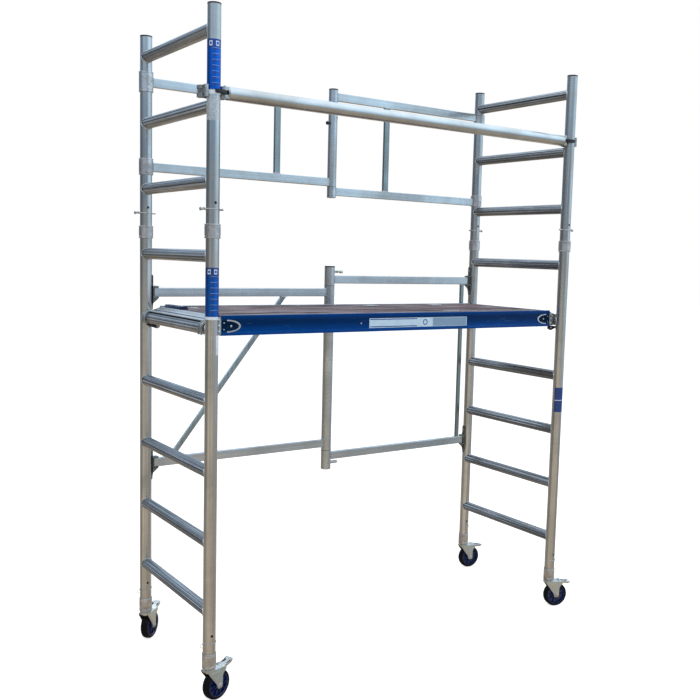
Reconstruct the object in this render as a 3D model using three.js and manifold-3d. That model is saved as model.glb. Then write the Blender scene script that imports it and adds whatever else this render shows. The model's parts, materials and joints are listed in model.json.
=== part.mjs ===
// Folding aluminium room scaffold: two stacked modules of ladder frames on castors, with a hatch
// platform, a front guard rail and two pairs of folding rear gates. Millimetres, +Z up, X along the
// platform, Y its depth with the folding gates on the +Y side, floor at Z = 0.
import * as THREE from 'three';
import { mergeVertices } from 'three/addons/utils/BufferGeometryUtils.js';
import Module from 'manifold-3d';

const wasm = await Module();
wasm.setup();

// ---------- driving dimensions ----------
const LENGTH = 1900;              // between the two end frames, upright axis to upright axis
const DEPTH = 690;                // between the uprights of one end frame, axis to axis
const GAP = 0.3;                  // clearance between pieces that touch

const TUBE_R = 25.4;              // uprights
const TUBE_BORE_R = 23.4;
const TUBE_SIDES = 12;
const TURNING_BORE_R = 26.7;      // collars that turn round an upright
const RUNG_R = 24;
const RUNG_BORE_R = 22;
const RUNG_SIDES = 12;
const RUNG_PITCH = 280;
const FIRST_RUNG_Z = 370;
const LOWER_RUNGS = 6;
const UPPER_RUNGS = 3;
const FRAME_BOTTOM_Z = 205;       // uprights start on the castor sockets
const FRAME_TOP_Z = 2700;
const JOINT_Z = 1864;             // plane where the upper module stands on the lower one
const SLEEVE_R = 30.5;            // collars round an upright, outside
const LOCK_PIN_Z = 1946;
const LOCK_PIN_R = 4;

const WHEEL_R = 62.5;
const WHEEL_SIDES = 20;
const CASTOR_TRAIL = 38;
const CROWN_Z = [128, 134];
const RACE_TOP_Z = 141;
const PEDAL_PIVOT = [66, 126];    // x from the swivel axis, z
const PEDAL_DOWN = -4;            // degrees, brake on
const PEDAL_UP = 22;              // degrees, brake off

const DECK_RUNG_Z = FIRST_RUNG_Z + 4 * RUNG_PITCH;
const DECK_HALF_X = 897;
const DECK_HALF_Y = 317;
const RAIL_TOP = 52;              // side rail, above the centre of the rung that carries the deck
const RAIL_BOTTOM = -28;
const CHANNEL_WALL = 3;           // of the side rail
const RAIL_LIP = 14;              // top lip of the side rail, which the panel lies beside
const PANEL_BOTTOM = 39.3;
const PANEL_TOP = 48.7;
const HATCH_X = [60, 700];
const HATCH_Y = [-230, 230];
const HATCH_GAP = 2;
const HOOK_Y = [284.5, 315];      // corner hooks, from the middle of the platform
const WIND_PIVOT = [913, -36];    // x and z from the middle of the rung that carries the deck
const WIND_LOCKS = { right_near: -312, left_far: 302 };

const GUARD_Z = 2380;
const GUARD_R = 25.4;
const GUARD_HALF_X = 893;
const CLAW_OUTER_R = 41;
const CLAW_FINGER = [[52, 26], [52, 40], [42, 46]];
const CLAW_PIVOT = [-40, -12];    // x and y from the axis of the upright

const RAIL_HEIGHT = 40;           // gate rails
const RAIL_THICK = 20;
const RAIL_WALL = 2;
const BRACKET_REACH = 78;         // above and below the middle of the gate rail
const EYE_END = 9;                // gate rail beyond the bracket pin
const PIN_R = 5;
const BAR_DEPTH = 16;             // box bars between the gate rails
const BAR_WALL = 1.6;
const POST_LATCH_Z = 1704;
const LOWER_GATE = {
  pivotX: 905, post: [695, 1732], split: [794, 1634], postR: 25.4,
  left: [830, 1600], right: [762, 1665],
};
const UPPER_GATE = {
  pivotX: 950, post: [2070, 2600], split: [2124, 2535], postR: 22.3,
  left: [2146, 2507], right: [2102, 2563],
  leftCollars: [[2111, 2181], [2464, 2549]], rightCollars: [[2080, 2138], [2522, 2582]],
};

// x and y of each upright, named left/right and near/far
const CORNERS = [
  { name: 'left_near', side: -1, depth: -1, swivel: 17, pedal: PEDAL_UP },
  { name: 'left_far', side: -1, depth: 1, swivel: 42, pedal: PEDAL_UP },
  { name: 'right_near', side: 1, depth: -1, swivel: -20, pedal: PEDAL_DOWN },
  { name: 'right_far', side: 1, depth: 1, swivel: -10, pedal: PEDAL_DOWN },
];

// ---------- materials ----------
const metal = (color, roughness) => new THREE.MeshStandardMaterial({ color, roughness, metalness: 0.9 });
const plain = (color, roughness) => new THREE.MeshStandardMaterial({ color, roughness, metalness: 0 });
const ALUMINIUM = metal(0xb4b7b8, 0.42);
const CAST = metal(0x9a9c9b, 0.55);
const ZINC = metal(0xa39a86, 0.45);
const BLUE = new THREE.MeshStandardMaterial({ color: 0x143f8f, roughness: 0.4, metalness: 0.3 });
const PLY = plain(0x6f4a3c, 0.7);
const BLACK = plain(0x161718, 0.6);
const PALE = plain(0xc9c6bd, 0.6);
const TYRE = plain(0x121419, 0.75);

// ---------- helpers ----------
const group = new THREE.Group();

function solid(geometry) {
  const bare = geometry.clone();
  bare.deleteAttribute('normal');
  bare.deleteAttribute('uv');
  const merged = mergeVertices(bare, 1e-4);
  const vertProperties = new Float32Array(merged.attributes.position.array);
  const triVerts = new Uint32Array(merged.index.array);
  return new wasm.Manifold(new wasm.Mesh({ numProp: 3, vertProperties, triVerts }));
}

function union(first, ...rest) {
  return rest.reduce((sum, piece) => sum.add(piece), first);
}

function cut(body, ...tools) {
  return tools.reduce((left, tool) => left.subtract(tool), body);
}

function geometryOf(body) {
  const mesh = body.getMesh();
  const geometry = new THREE.BufferGeometry();
  geometry.setAttribute('position', new THREE.BufferAttribute(new Float32Array(mesh.vertProperties), 3));
  geometry.setIndex(new THREE.BufferAttribute(new Uint32Array(mesh.triVerts), 1));
  geometry.computeVertexNormals();
  return geometry;
}

function addPiece(name, body, material, at = [0, 0, 0], parent = group) {
  const mesh = new THREE.Mesh(body instanceof THREE.BufferGeometry ? body : geometryOf(body), material);
  mesh.name = name;
  mesh.position.set(...at);
  parent.add(mesh);
  return mesh;
}

function rodZ(radius, z0, z1, at = [0, 0], sides = TUBE_SIDES) {
  const geometry = new THREE.CylinderGeometry(radius, radius, z1 - z0, sides);
  geometry.rotateX(Math.PI / 2);
  geometry.translate(at[0], at[1], (z0 + z1) / 2);
  return solid(geometry);
}

function rodY(radius, y0, y1, at, sides = RUNG_SIDES) {
  const geometry = new THREE.CylinderGeometry(radius, radius, y1 - y0, sides);
  geometry.translate(at[0], (y0 + y1) / 2, at[1]);
  return solid(geometry);
}

function rodX(radius, x0, x1, at, sides = TUBE_SIDES) {
  const geometry = new THREE.CylinderGeometry(radius, radius, x1 - x0, sides);
  geometry.rotateZ(Math.PI / 2);
  geometry.translate((x0 + x1) / 2, at[0], at[1]);
  return solid(geometry);
}

function block(low, high) {
  const size = high.map((value, axis) => value - low[axis]);
  const geometry = new THREE.BoxGeometry(...size);
  geometry.translate(...low.map((value, axis) => value + size[axis] / 2));
  return solid(geometry);
}

// a closed ring or bush turned about Z from its (radius, z) outline, which runs either way round
function turned(outline, sides = TUBE_SIDES) {
  const points = outline.map(([radius, z]) => new THREE.Vector2(radius, z));
  if (THREE.ShapeUtils.isClockWise(points)) points.reverse();
  const geometry = new THREE.LatheGeometry([...points, points[0]], sides);
  geometry.rotateX(Math.PI / 2);
  return solid(geometry);
}

function shapeOf(points) {
  return new THREE.Shape(points.map(([u, v]) => new THREE.Vector2(u, v)));
}

// an outline in X and Y, extruded up Z from z0 to z1
function plateXY(shape, z0, z1, curveSegments = 8) {
  const geometry = new THREE.ExtrudeGeometry(shape, { depth: z1 - z0, bevelEnabled: false, curveSegments });
  geometry.translate(0, 0, z0);
  return solid(geometry);
}

// an outline in X and Z, extruded along Y from y0 to y1
function plateXZ(shape, y0, y1, curveSegments = 8) {
  const geometry = new THREE.ExtrudeGeometry(shape, { depth: y1 - y0, bevelEnabled: false, curveSegments });
  geometry.rotateX(Math.PI / 2);
  geometry.translate(0, y1, 0);
  return solid(geometry);
}

// an outline in Y and Z, extruded along X from x0 to x1
function plateYZ(shape, x0, x1) {
  const geometry = new THREE.ExtrudeGeometry(shape, { depth: x1 - x0, bevelEnabled: false });
  geometry.rotateX(Math.PI / 2);
  geometry.rotateZ(Math.PI / 2);
  geometry.translate(x0, 0, 0);
  return solid(geometry);
}

// ---------- end frames ----------
// Two uprights joined by rungs; every bore runs into the next, so the tubing is one open hollow.
function ladderFrame(bottom, top, rungHeights, pinHoleZ) {
  const half = DEPTH / 2;
  const tubes = [];
  const bores = [];
  for (const y of [-half, half]) {
    tubes.push(rodZ(TUBE_R, bottom, top, [0, y]));
    bores.push(rodZ(TUBE_BORE_R, bottom - 1, top + 1, [0, y]));
    if (pinHoleZ) {
      bores.push(rodX(LOCK_PIN_R + 0.5, -TUBE_R - 1, TUBE_R + 1, [y, pinHoleZ], 8));
    }
  }
  for (const z of rungHeights) {
    tubes.push(rodY(RUNG_R, -half, half, [0, z]));
    bores.push(rodY(RUNG_BORE_R, -half, half, [0, z]));
  }
  return cut(union(...tubes), ...bores);
}

function rungLine(count, first) {
  return Array.from({ length: count }, (_, index) => first + index * RUNG_PITCH);
}

function addFrames() {
  const lower = rungLine(LOWER_RUNGS, FIRST_RUNG_Z);
  const upper = rungLine(UPPER_RUNGS, FIRST_RUNG_Z + LOWER_RUNGS * RUNG_PITCH);
  const lowerBody = ladderFrame(FRAME_BOTTOM_Z + GAP, JOINT_Z - 1.5, lower, null);
  const upperBody = ladderFrame(JOINT_Z + 1.5, FRAME_TOP_Z, upper, LOCK_PIN_Z);
  for (const [name, side] of [['left', -1], ['right', 1]]) {
    addPiece(`${name}_lower_frame`, lowerBody, ALUMINIUM, [side * LENGTH / 2, 0, 0]);
    addPiece(`${name}_upper_frame`, upperBody, ALUMINIUM, [side * LENGTH / 2, 0, 0]);
  }
}

// ---------- couplings between the modules ----------
function addSpigots() {
  const inner = 19;
  const spigotR = TUBE_BORE_R - 0.4;
  const sleeveBore = TUBE_R + 0.4;
  const body = turned([
    [inner, -90], [spigotR, -90], [spigotR, -1.2], [sleeveBore, -1.2], [sleeveBore, -27], [SLEEVE_R, -27],
    [SLEEVE_R, 27], [sleeveBore, 27], [sleeveBore, 1.2], [spigotR, 1.2], [spigotR, 110], [inner, 110],
  ]);
  const drilled = cut(body, rodX(LOCK_PIN_R + 0.5, -40, 40, [0, LOCK_PIN_Z - JOINT_Z], 8));
  const pin = union(
    rodX(LOCK_PIN_R, -43, 46, [0, 0], 8),
    rodX(9, 46, 53, [0, 0], 10),
  );
  for (const corner of CORNERS) {
    const x = corner.side * LENGTH / 2;
    const y = corner.depth * DEPTH / 2;
    addPiece(`spigot_${corner.name}`, drilled, PALE, [x, y, JOINT_Z]);
    const lockPin = addPiece(`lock_pin_${corner.name}`, pin, ZINC, [x, y, LOCK_PIN_Z]);
    lockPin.rotation.z = corner.side > 0 ? 0 : Math.PI;
  }
}

// ---------- castors ----------
function castorSocket() {
  const stemBore = 6.6;
  return turned([
    [stemBore, RACE_TOP_Z + 1], [28, RACE_TOP_Z + 1], [28, FRAME_BOTTOM_Z],
    [TUBE_BORE_R - 0.4, FRAME_BOTTOM_Z], [TUBE_BORE_R - 0.4, 262], [20, 266], [stemBore, 266],
  ]);
}

function castorFork() {
  const plateY = [20.5, 24.5];
  const axleZ = wheelCentreZ();
  const side = new THREE.Shape();
  side.moveTo(-24, CROWN_Z[1]);
  side.lineTo(-24, CROWN_Z[0]);
  side.lineTo(CASTOR_TRAIL - 13, axleZ);
  side.absarc(CASTOR_TRAIL, axleZ, 13, Math.PI, 2 * Math.PI, false);
  side.lineTo(PEDAL_PIVOT[0] + 7, PEDAL_PIVOT[1] - 4);
  side.lineTo(PEDAL_PIVOT[0] + 7, CROWN_Z[1]);
  const cheeks = [-1, 1].map((sign) => {
    const [y0, y1] = sign > 0 ? plateY : [-plateY[1], -plateY[0]];
    return plateXZ(side, y0, y1, 6);
  });
  const crown = block([-24, -plateY[1], CROWN_Z[0]], [50, plateY[1], CROWN_Z[1]]);
  const race = rodZ(25, CROWN_Z[1] - 1, RACE_TOP_Z, [0, 0]);
  const stem = rodZ(6.1, RACE_TOP_Z - 1, 240, [0, 0], 12);
  const axle = rodY(5.8, -27, 27, [CASTOR_TRAIL, axleZ]);
  const pedalHole = rodY(3.5, -30, 30, PEDAL_PIVOT, 8);
  return cut(union(crown, ...cheeks, race, stem, axle), pedalHole);
}

// The wheel is turned so that one of its flat facets lies on the floor.
function wheelCentreZ() {
  return WHEEL_R * Math.cos(Math.PI / WHEEL_SIDES);
}

function castorWheel() {
  const outline = [
    [6.3, -19], [16, -19], [20, -13], [60, -16], [WHEEL_R, -11], [WHEEL_R, 11], [60, 16], [20, 13],
    [16, 19], [6.3, 19],
  ];
  const geometry = geometryOf(turned(outline, WHEEL_SIDES));
  geometry.rotateX(Math.PI / 2);
  geometry.rotateY(Math.PI / WHEEL_SIDES);
  return geometry;
}

// The foot pedal, drawn level; its pivot is the origin.
function castorPedal() {
  const reach = 52;
  const outline = new THREE.Shape();
  outline.absarc(0, 0, 5.5, Math.PI / 2, 1.8 * Math.PI, false);
  outline.lineTo(reach - 12, -4);
  outline.lineTo(reach, 3);
  outline.lineTo(reach - 2, 6);
  outline.lineTo(reach - 13, 1);
  outline.lineTo(8, 5.5);
  const pin = rodY(3, -25, 25, [0, 0], 8);
  return union(plateXZ(outline, -19, 19, 4), pin);
}

function addCastors() {
  const socket = castorSocket();
  const fork = castorFork();
  const wheel = castorWheel();
  const pedal = castorPedal();
  for (const corner of CORNERS) {
    const stand = new THREE.Group();
    stand.position.set(corner.side * LENGTH / 2, corner.depth * DEPTH / 2, 0);
    group.add(stand);
    addPiece(`castor_socket_${corner.name}`, socket, PALE, [0, 0, 0], stand);
    const swivel = new THREE.Group();
    swivel.rotation.z = THREE.MathUtils.degToRad(corner.swivel);
    stand.add(swivel);
    addPiece(`castor_fork_${corner.name}`, fork, ZINC, [0, 0, 0], swivel);
    addPiece(`castor_wheel_${corner.name}`, wheel, TYRE, [CASTOR_TRAIL, 0, wheelCentreZ()], swivel);
    const at = [PEDAL_PIVOT[0], 0, PEDAL_PIVOT[1]];
    const lever = addPiece(`brake_pedal_${corner.name}`, pedal, ZINC, at, swivel);
    lever.rotation.y = -THREE.MathUtils.degToRad(corner.pedal);
  }
}

// ---------- platform ----------
// Channel section of a side rail, open towards the middle of the deck; y grows inwards from the outer face.
function sideRailOutline() {
  const wall = CHANNEL_WALL;
  const foot = 24;
  const ledge = 28;
  const ledgeTop = PANEL_BOTTOM - GAP;
  return [
    [0, RAIL_BOTTOM], [foot, RAIL_BOTTOM], [foot, RAIL_BOTTOM + wall], [wall, RAIL_BOTTOM + wall],
    [wall, ledgeTop - wall], [ledge, ledgeTop - wall], [ledge, ledgeTop], [wall, ledgeTop],
    [wall, RAIL_TOP - wall], [RAIL_LIP, RAIL_TOP - wall], [RAIL_LIP, RAIL_TOP], [0, RAIL_TOP],
  ];
}

function addSideRails() {
  for (const [name, sign] of [['near', -1], ['far', 1]]) {
    const outline = sideRailOutline().map(([y, z]) => [sign * (DECK_HALF_Y - y), DECK_RUNG_Z + z]);
    addPiece(`deck_rail_${name}`, plateYZ(shapeOf(outline), -DECK_HALF_X, DECK_HALF_X), BLUE);
  }
}

function addPanels() {
  const z0 = DECK_RUNG_Z + PANEL_BOTTOM;
  const z1 = DECK_RUNG_Z + PANEL_TOP;
  const halfY = DECK_HALF_Y - RAIL_LIP - 0.4;
  const sheet = block([-DECK_HALF_X + 4, -halfY, z0], [DECK_HALF_X - 4, halfY, z1]);
  const opening = block([HATCH_X[0], HATCH_Y[0], z0 - 1], [HATCH_X[1], HATCH_Y[1], z1 + 1]);
  addPiece('deck_panel', cut(sheet, opening), PLY);
  const g = HATCH_GAP;
  addPiece('hatch', block([HATCH_X[0] + g, HATCH_Y[0] + g, z0], [HATCH_X[1] - g, HATCH_Y[1] - g, z1]), PLY);
}

function addCrossBeams() {
  const top = DECK_RUNG_Z + PANEL_BOTTOM - CHANNEL_WALL - 2 * GAP;
  const halfY = DECK_HALF_Y - CHANNEL_WALL - 0.4;
  const [halfWidth, height, wall] = [18, 34, 2.5];
  for (const [name, x] of [['left', HATCH_X[0]], ['right', HATCH_X[1]]]) {
    const inside = halfWidth - wall;
    const beam = cut(
      block([x - halfWidth, -halfY, top - height], [x + halfWidth, halfY, top]),
      block([x - inside, -halfY - 1, top - height + wall], [x + inside, halfY + 1, top - wall]),
    );
    addPiece(`cross_beam_${name}`, beam, ALUMINIUM);
  }
}

// End profile between the corner hooks: a web with a lip that reaches out over the rung.
function addEndBeams() {
  const z = DECK_RUNG_Z;
  for (const [name, side] of [['left', -1], ['right', 1]]) {
    const outline = [
      [DECK_HALF_X - 3, z - 12], [DECK_HALF_X + 19, z - 12], [DECK_HALF_X + 22, z - 8],
      [DECK_HALF_X + 22, z + 26], [DECK_HALF_X + 62, z + 26], [DECK_HALF_X + 64, z + 29],
      [DECK_HALF_X + 60, z + 34], [DECK_HALF_X + 16, z + 36], [DECK_HALF_X + 10, z + 49],
      [DECK_HALF_X - 3, z + 49],
    ].map(([x, height]) => [side * x, height]);
    addPiece(`end_beam_${name}`, plateXZ(shapeOf(outline), -284, 284), ALUMINIUM);
  }
}

// Corner hook: a claw open downwards over the rung, with a foot against the end of the side rail.
function cornerHook(side) {
  const rungX = LENGTH / 2;
  const inside = RUNG_R + 0.8;
  const outside = RUNG_R + 9;
  const drop = 30;
  const outline = new THREE.Shape();
  const foot = DECK_HALF_X + GAP;
  outline.moveTo(foot, -24);
  outline.lineTo(rungX - inside - 2, -24);
  outline.lineTo(rungX - inside, 0);
  outline.absarc(rungX, 0, inside, Math.PI, 0, true);
  outline.lineTo(rungX + inside, -drop + 8);
  outline.lineTo(rungX + outside - 2, -drop + 8);
  outline.lineTo(rungX + outside, 0);
  outline.absarc(rungX, 0, outside, 0, Math.PI * 0.62, false);
  outline.lineTo(foot, 46);
  const points = outline.extractPoints(7).shape.map((point) => [side * point.x, point.y]);
  return shapeOf(points);
}

// Two of the hooks carry a wind lock: a lug and pin below the hook hold its lever.
function windLug(side, y0) {
  const [pivotX, pivotZ] = [side * WIND_PIVOT[0], WIND_PIVOT[1]];
  const inner = y0 > 0 ? y0 - 4.5 : y0 + 10.5;
  const lug = block([pivotX - 8, inner, pivotZ - 8], [pivotX + 8, inner + 4, -20]);
  const pin = rodY(3, Math.min(inner, y0 - 2), Math.max(inner + 4, y0 + 12), [pivotX, pivotZ], 8);
  return union(lug, pin);
}

function addHooks() {
  for (const corner of CORNERS) {
    const [y0, y1] = corner.depth > 0 ? HOOK_Y : [-HOOK_Y[1], -HOOK_Y[0]];
    const claw = plateXZ(cornerHook(corner.side), y0, y1);
    const leverY = WIND_LOCKS[corner.name];
    const hook = leverY ? union(claw, windLug(corner.side, leverY)) : claw;
    addPiece(`deck_hook_${corner.name}`, hook, CAST, [0, 0, DECK_RUNG_Z]);
  }
}

// Wind lock: a pointed lever swung under the rung so the platform can't lift.
function addWindLocks() {
  const [pivotX, pivotZ] = WIND_PIVOT;
  for (const [name, y0] of Object.entries(WIND_LOCKS)) {
    const side = name.startsWith('right') ? 1 : -1;
    const outline = [
      [4, 10], [-6, 9], [-9, -6], [0, -14], [30, -3], [52, 6], [30, 8],
    ].map(([x, z]) => [side * (pivotX + x), pivotZ + z]);
    const bore = rodY(3.5, y0 - 1, y0 + 11, [side * pivotX, pivotZ], 8);
    const lever = cut(plateXZ(shapeOf(outline), y0, y0 + 10), bore);
    addPiece(`wind_lock_${name}`, lever, BLACK, [0, 0, DECK_RUNG_Z]);
  }
}

// ---------- front guard rail ----------
function addGuardRail() {
  const y = -DEPTH / 2;
  const tube = cut(
    rodX(GUARD_R, -GUARD_HALF_X, GUARD_HALF_X, [y, GUARD_Z]),
    rodX(GUARD_R - 2, -GUARD_HALF_X - 1, GUARD_HALF_X + 1, [y, GUARD_Z]),
  );
  addPiece('guard_rail', tube, ALUMINIUM);
  for (const [name, side] of [['left', -1], ['right', 1]]) {
    addPiece(`rail_claw_${name}`, railClaw(side), CAST, [side * LENGTH / 2, y, GUARD_Z]);
    addPiece(`claw_latch_${name}`, clawLatch(side), BLACK, [side * LENGTH / 2, y, GUARD_Z]);
  }
}

// A jaw round the upright, open towards the front, with a finger at its back and a plug in the end of
// the rail tube. The upright's axis is the origin and the rail lies on the -X side; side = -1 mirrors it
// for the other end.
function railClaw(side) {
  const grip = TUBE_R + 0.9;
  const outer = CLAW_OUTER_R;
  const outline = new THREE.Shape();
  outline.moveTo(-56.5, -20);
  outline.lineTo(-36, -20);
  outline.lineTo(-grip, -8);
  outline.absarc(0, 0, grip, Math.PI, 0, true);
  outline.lineTo(grip, -14);
  outline.lineTo(outer - 5, -16);
  outline.lineTo(outer, -8);
  outline.lineTo(outer, 8);
  CLAW_FINGER.forEach(([x, y]) => outline.lineTo(x, y));
  outline.absarc(0, 0, outer, Math.PI * 0.4, Math.PI * 0.75, false);
  outline.lineTo(-56.5, 20);
  const points = outline.extractPoints(8).shape.map((point) => [side * point.x, point.y]);
  const jaw = plateXY(shapeOf(points), -22, 22);
  const plugX = [side * -100, side * -56].sort((a, b) => a - b);
  const plug = rodX(GUARD_R - 2.4, plugX[0], plugX[1], [0, 0]);
  const slotX = [side * -50, side * -20].sort((a, b) => a - b);
  const slot = block([slotX[0], -40, -8], [slotX[1], 4, 8]);
  const bolt = rodZ(3, -23, 23, [side * CLAW_PIVOT[0], CLAW_PIVOT[1]], 8);
  return union(cut(union(jaw, plug), slot), bolt);
}

// Latch across the mouth of the jaw, turning on a bolt in the jaw's slot.
function clawLatch(side) {
  const reach = TUBE_R + 1.2;
  const outline = new THREE.Shape();
  outline.moveTo(-48, -17);
  outline.lineTo(-42, -26);
  outline.lineTo(-26, -33);
  outline.lineTo(-6, -36);
  outline.lineTo(8, -33);
  outline.lineTo(7, -reach - 1);
  outline.lineTo(-8, -reach - 0.5);
  outline.lineTo(-20, -22);
  outline.lineTo(-30, -11);
  outline.lineTo(-35, -5);
  outline.lineTo(-44, -5);
  const points = outline.getPoints().map((point) => [side * point.x, point.y]);
  const bore = rodZ(3.5, -10, 10, [side * CLAW_PIVOT[0], CLAW_PIVOT[1]], 8);
  return cut(plateXY(shapeOf(points), -6.5, 6.5), bore);
}

// ---------- rear gates ----------
// A rail along X in the gate plane, and the hollow that is cut from it once it is joined to its neighbours.
function gateRail(x0, x1, z) {
  const half = RAIL_HEIGHT / 2;
  return block([x0, -RAIL_THICK / 2, z - half], [x1, RAIL_THICK / 2, z + half]);
}

function railBore(x0, x1, z) {
  const half = RAIL_HEIGHT / 2 - RAIL_WALL;
  const halfY = RAIL_THICK / 2 - RAIL_WALL;
  return block([x0, -halfY, z - half], [x1, halfY, z + half]);
}

// One gate pair: the left half carries the middle of the post and two spigots, and the right half has the
// post's top and bottom knuckles, which turn on those spigots.
function postCore(gate) {
  const spigotR = gate.postR - 4.5;
  const top = gate.post[1] - 12;
  const bottom = gate.post[0] + 12;
  const tube = union(rodZ(gate.postR, gate.split[0], gate.split[1]), rodZ(spigotR, bottom, top));
  return cut(tube, rodZ(spigotR - 3, bottom - 1, top + 1));
}

function postKnuckle(gate, z0, z1) {
  return cut(rodZ(gate.postR, z0, z1), rodZ(gate.postR - 3.4, z0 - 1, z1 + 1));
}

function knuckles(gate) {
  return [
    postKnuckle(gate, gate.post[0], gate.split[0] - GAP),
    postKnuckle(gate, gate.split[1] + GAP, gate.post[1]),
  ];
}

// Box bar between a gate's rails, along the line between two points inside them. The inset is taken off
// every side, for the hollow that is cut from the bar once it is joined to the rails.
function gateBar({ from, to, width }, inset = 0) {
  const along = new THREE.Vector2(to[0] - from[0], to[1] - from[1]).normalize();
  const halfWidth = width / 2 - inset;
  const halfDepth = BAR_DEPTH / 2 - inset;
  const [nx, nz] = [-along.y * halfWidth, along.x * halfWidth];
  return plateXZ(shapeOf([
    [from[0] + nx, from[1] + nz], [from[0] - nx, from[1] - nz],
    [to[0] - nx, to[1] - nz], [to[0] + nx, to[1] + nz],
  ]), -halfDepth, halfDepth);
}

// An upright bar between the two rails of one gate half.
const uprightBar = (x, width, heights) => ({ from: [x, heights[0]], to: [x, heights[1]], width });

function addLowerGates() {
  const gate = LOWER_GATE;
  const inPost = gate.postR - 3;
  const left = gate.left.map((z) => gateRail(-gate.pivotX - EYE_END, -inPost, z));
  const leftBores = gate.left.map((z) => railBore(-gate.pivotX - EYE_END - 1, -inPost - 10, z));
  const brace = { from: [-852, gate.left[0] - 8], to: [-240, gate.left[1] + 8], width: 22 };
  const eyes = gate.left.map((z) => rodZ(PIN_R + 0.5, z - 30, z + 30, [-gate.pivotX, 0], 10));
  const boreR = gate.postR - 7.5;
  const leftHollows = [...leftBores, gateBar(brace, BAR_WALL), ...eyes, rodZ(boreR, 0, 2000)];
  const leftBody = cut(union(postCore(gate), ...left, gateBar(brace)), ...leftHollows);
  addPiece('lower_gate_left', leftBody, ALUMINIUM, [0, DEPTH / 2, 0]);

  const railEnd = gate.pivotX - PIN_R - 2;
  const right = gate.right.map((z) => gateRail(inPost, railEnd, z));
  const rightBores = gate.right.map((z) => railBore(inPost + 10, railEnd + 1, z));
  const bar = uprightBar(868, 20, gate.right);
  const stop = block([inPost, -8, 718], [66, 8, 734]);
  const boresZ = rodZ(gate.postR - 3.4, 0, 2000);
  const latchHole = rodX(4.5, -10, 40, [0, POST_LATCH_Z], 8);
  const solidRight = union(...knuckles(gate), ...right, gateBar(bar), stop);
  const rightBody = cut(solidRight, ...rightBores, gateBar(bar, BAR_WALL), boresZ, latchHole);
  addPiece('lower_gate_right', rightBody, ALUMINIUM, [0, DEPTH / 2, 0]);
}

function addUpperGates() {
  const gate = UPPER_GATE;
  const inPost = gate.postR - 3;
  const railStart = -gate.pivotX + SLEEVE_R - 4;
  const rails = gate.left.map((z) => gateRail(railStart, -inPost, z));
  const railBores = gate.left.map((z) => railBore(-gate.pivotX, -inPost - 10, z));
  const collars = gate.leftCollars.map(([z0, z1]) => rodZ(SLEEVE_R, z0, z1, [-gate.pivotX, 0]));
  const bar = uprightBar(-309, 30, gate.left);
  const upright = rodZ(TURNING_BORE_R, 0, 3000, [-gate.pivotX, 0]);
  const boreR = gate.postR - 7.5;
  const solidLeft = union(postCore(gate), ...rails, ...collars, gateBar(bar));
  const left = cut(solidLeft, ...railBores, gateBar(bar, BAR_WALL), upright, rodZ(boreR, 0, 3000));
  addPiece('upper_gate_left', left, ALUMINIUM, [0, DEPTH / 2, 0]);

  const railEnd = gate.pivotX - SLEEVE_R - 2;
  const rightRails = gate.right.map((z) => gateRail(inPost, railEnd, z));
  const rightBores = gate.right.map((z) => railBore(inPost + 10, railEnd + 1, z));
  const rightBar = uprightBar(325, 30, gate.right);
  const boresZ = rodZ(gate.postR - 3.4, 0, 3000);
  const solidRight = union(...knuckles(gate), ...rightRails, gateBar(rightBar));
  const right = cut(solidRight, ...rightBores, gateBar(rightBar, BAR_WALL), boresZ);
  addPiece('upper_gate_right', right, ALUMINIUM, [0, DEPTH / 2, 0]);

  for (const [index, level] of ['bottom', 'top'].entries()) {
    const [z0, z1] = gate.rightCollars[index];
    const collar = cut(rodZ(SLEEVE_R, z0, z1), rodZ(TUBE_R + 0.4, z0 - 1, z1 + 1));
    addPiece(`gate_collar_${level}`, collar, PALE, [gate.pivotX, DEPTH / 2, 0]);
  }
}

// Spring pin through the lower post's top knuckle.
function addPostLatch() {
  const pin = union(
    rodX(4, 21.5, 58, [0, 0], 8),
    rodX(8, 58, 74, [0, 0], 10),
  );
  addPiece('post_latch', pin, ZINC, [0, DEPTH / 2, POST_LATCH_Z]);
}

// Hinge bracket on an upright: web with a pad above and a tail below, two lugs with the pin between
// them, and a gusset.
function hingeBracket(side) {
  const webX = -LENGTH / 2 + TUBE_R + GAP;
  const pinX = -LOWER_GATE.pivotX;
  const lugX = pinX + 14;
  const half = RAIL_HEIGHT / 2 + 1;
  const web = block([webX, -17, -52], [webX + 3, 17, half + 6]);
  const pad = block([webX, -13, half], [webX + 3, 13, BRACKET_REACH]);
  const tail = block([webX, -9, -BRACKET_REACH], [webX + 3, 9, -half]);
  const topLug = block([webX, -17, half], [lugX, 17, half + 6]);
  const bottomLug = block([webX, -17, -half - 6], [lugX, 17, -half]);
  const gussetOutline = [[webX, -52], [webX, -half - 5], [lugX, -half - 5], [lugX, -half - 9]];
  const gusset = plateXZ(shapeOf(gussetOutline), -3, 3);
  const pin = rodZ(PIN_R, -half - 10, half + 9, [pinX, 0], 10);
  const body = union(web, pad, tail, topLug, bottomLug, gusset, pin);
  return side < 0 ? body : body.mirror([1, 0, 0]);
}

function addBrackets() {
  for (const [name, side, heights] of [['left', -1, LOWER_GATE.left], ['right', 1, LOWER_GATE.right]]) {
    for (const [level, z] of [['bottom', heights[0]], ['top', heights[1]]]) {
      addPiece(`hinge_bracket_${name}_${level}`, hingeBracket(side), CAST, [0, DEPTH / 2, z]);
    }
  }
}

// ---------- assembly ----------
addFrames();
addSpigots();
addCastors();
addSideRails();
addPanels();
addCrossBeams();
addEndBeams();
addHooks();
addWindLocks();
addGuardRail();
addLowerGates();
addUpperGates();
addPostLatch();
addBrackets();

// The origin is the middle of the object's footprint, on the floor.
group.updateMatrixWorld(true);
const bounds = new THREE.Box3().setFromObject(group, true);
const centre = bounds.getCenter(new THREE.Vector3());
group.position.set(-centre.x, -centre.y, -bounds.min.z);

export default group;
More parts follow.
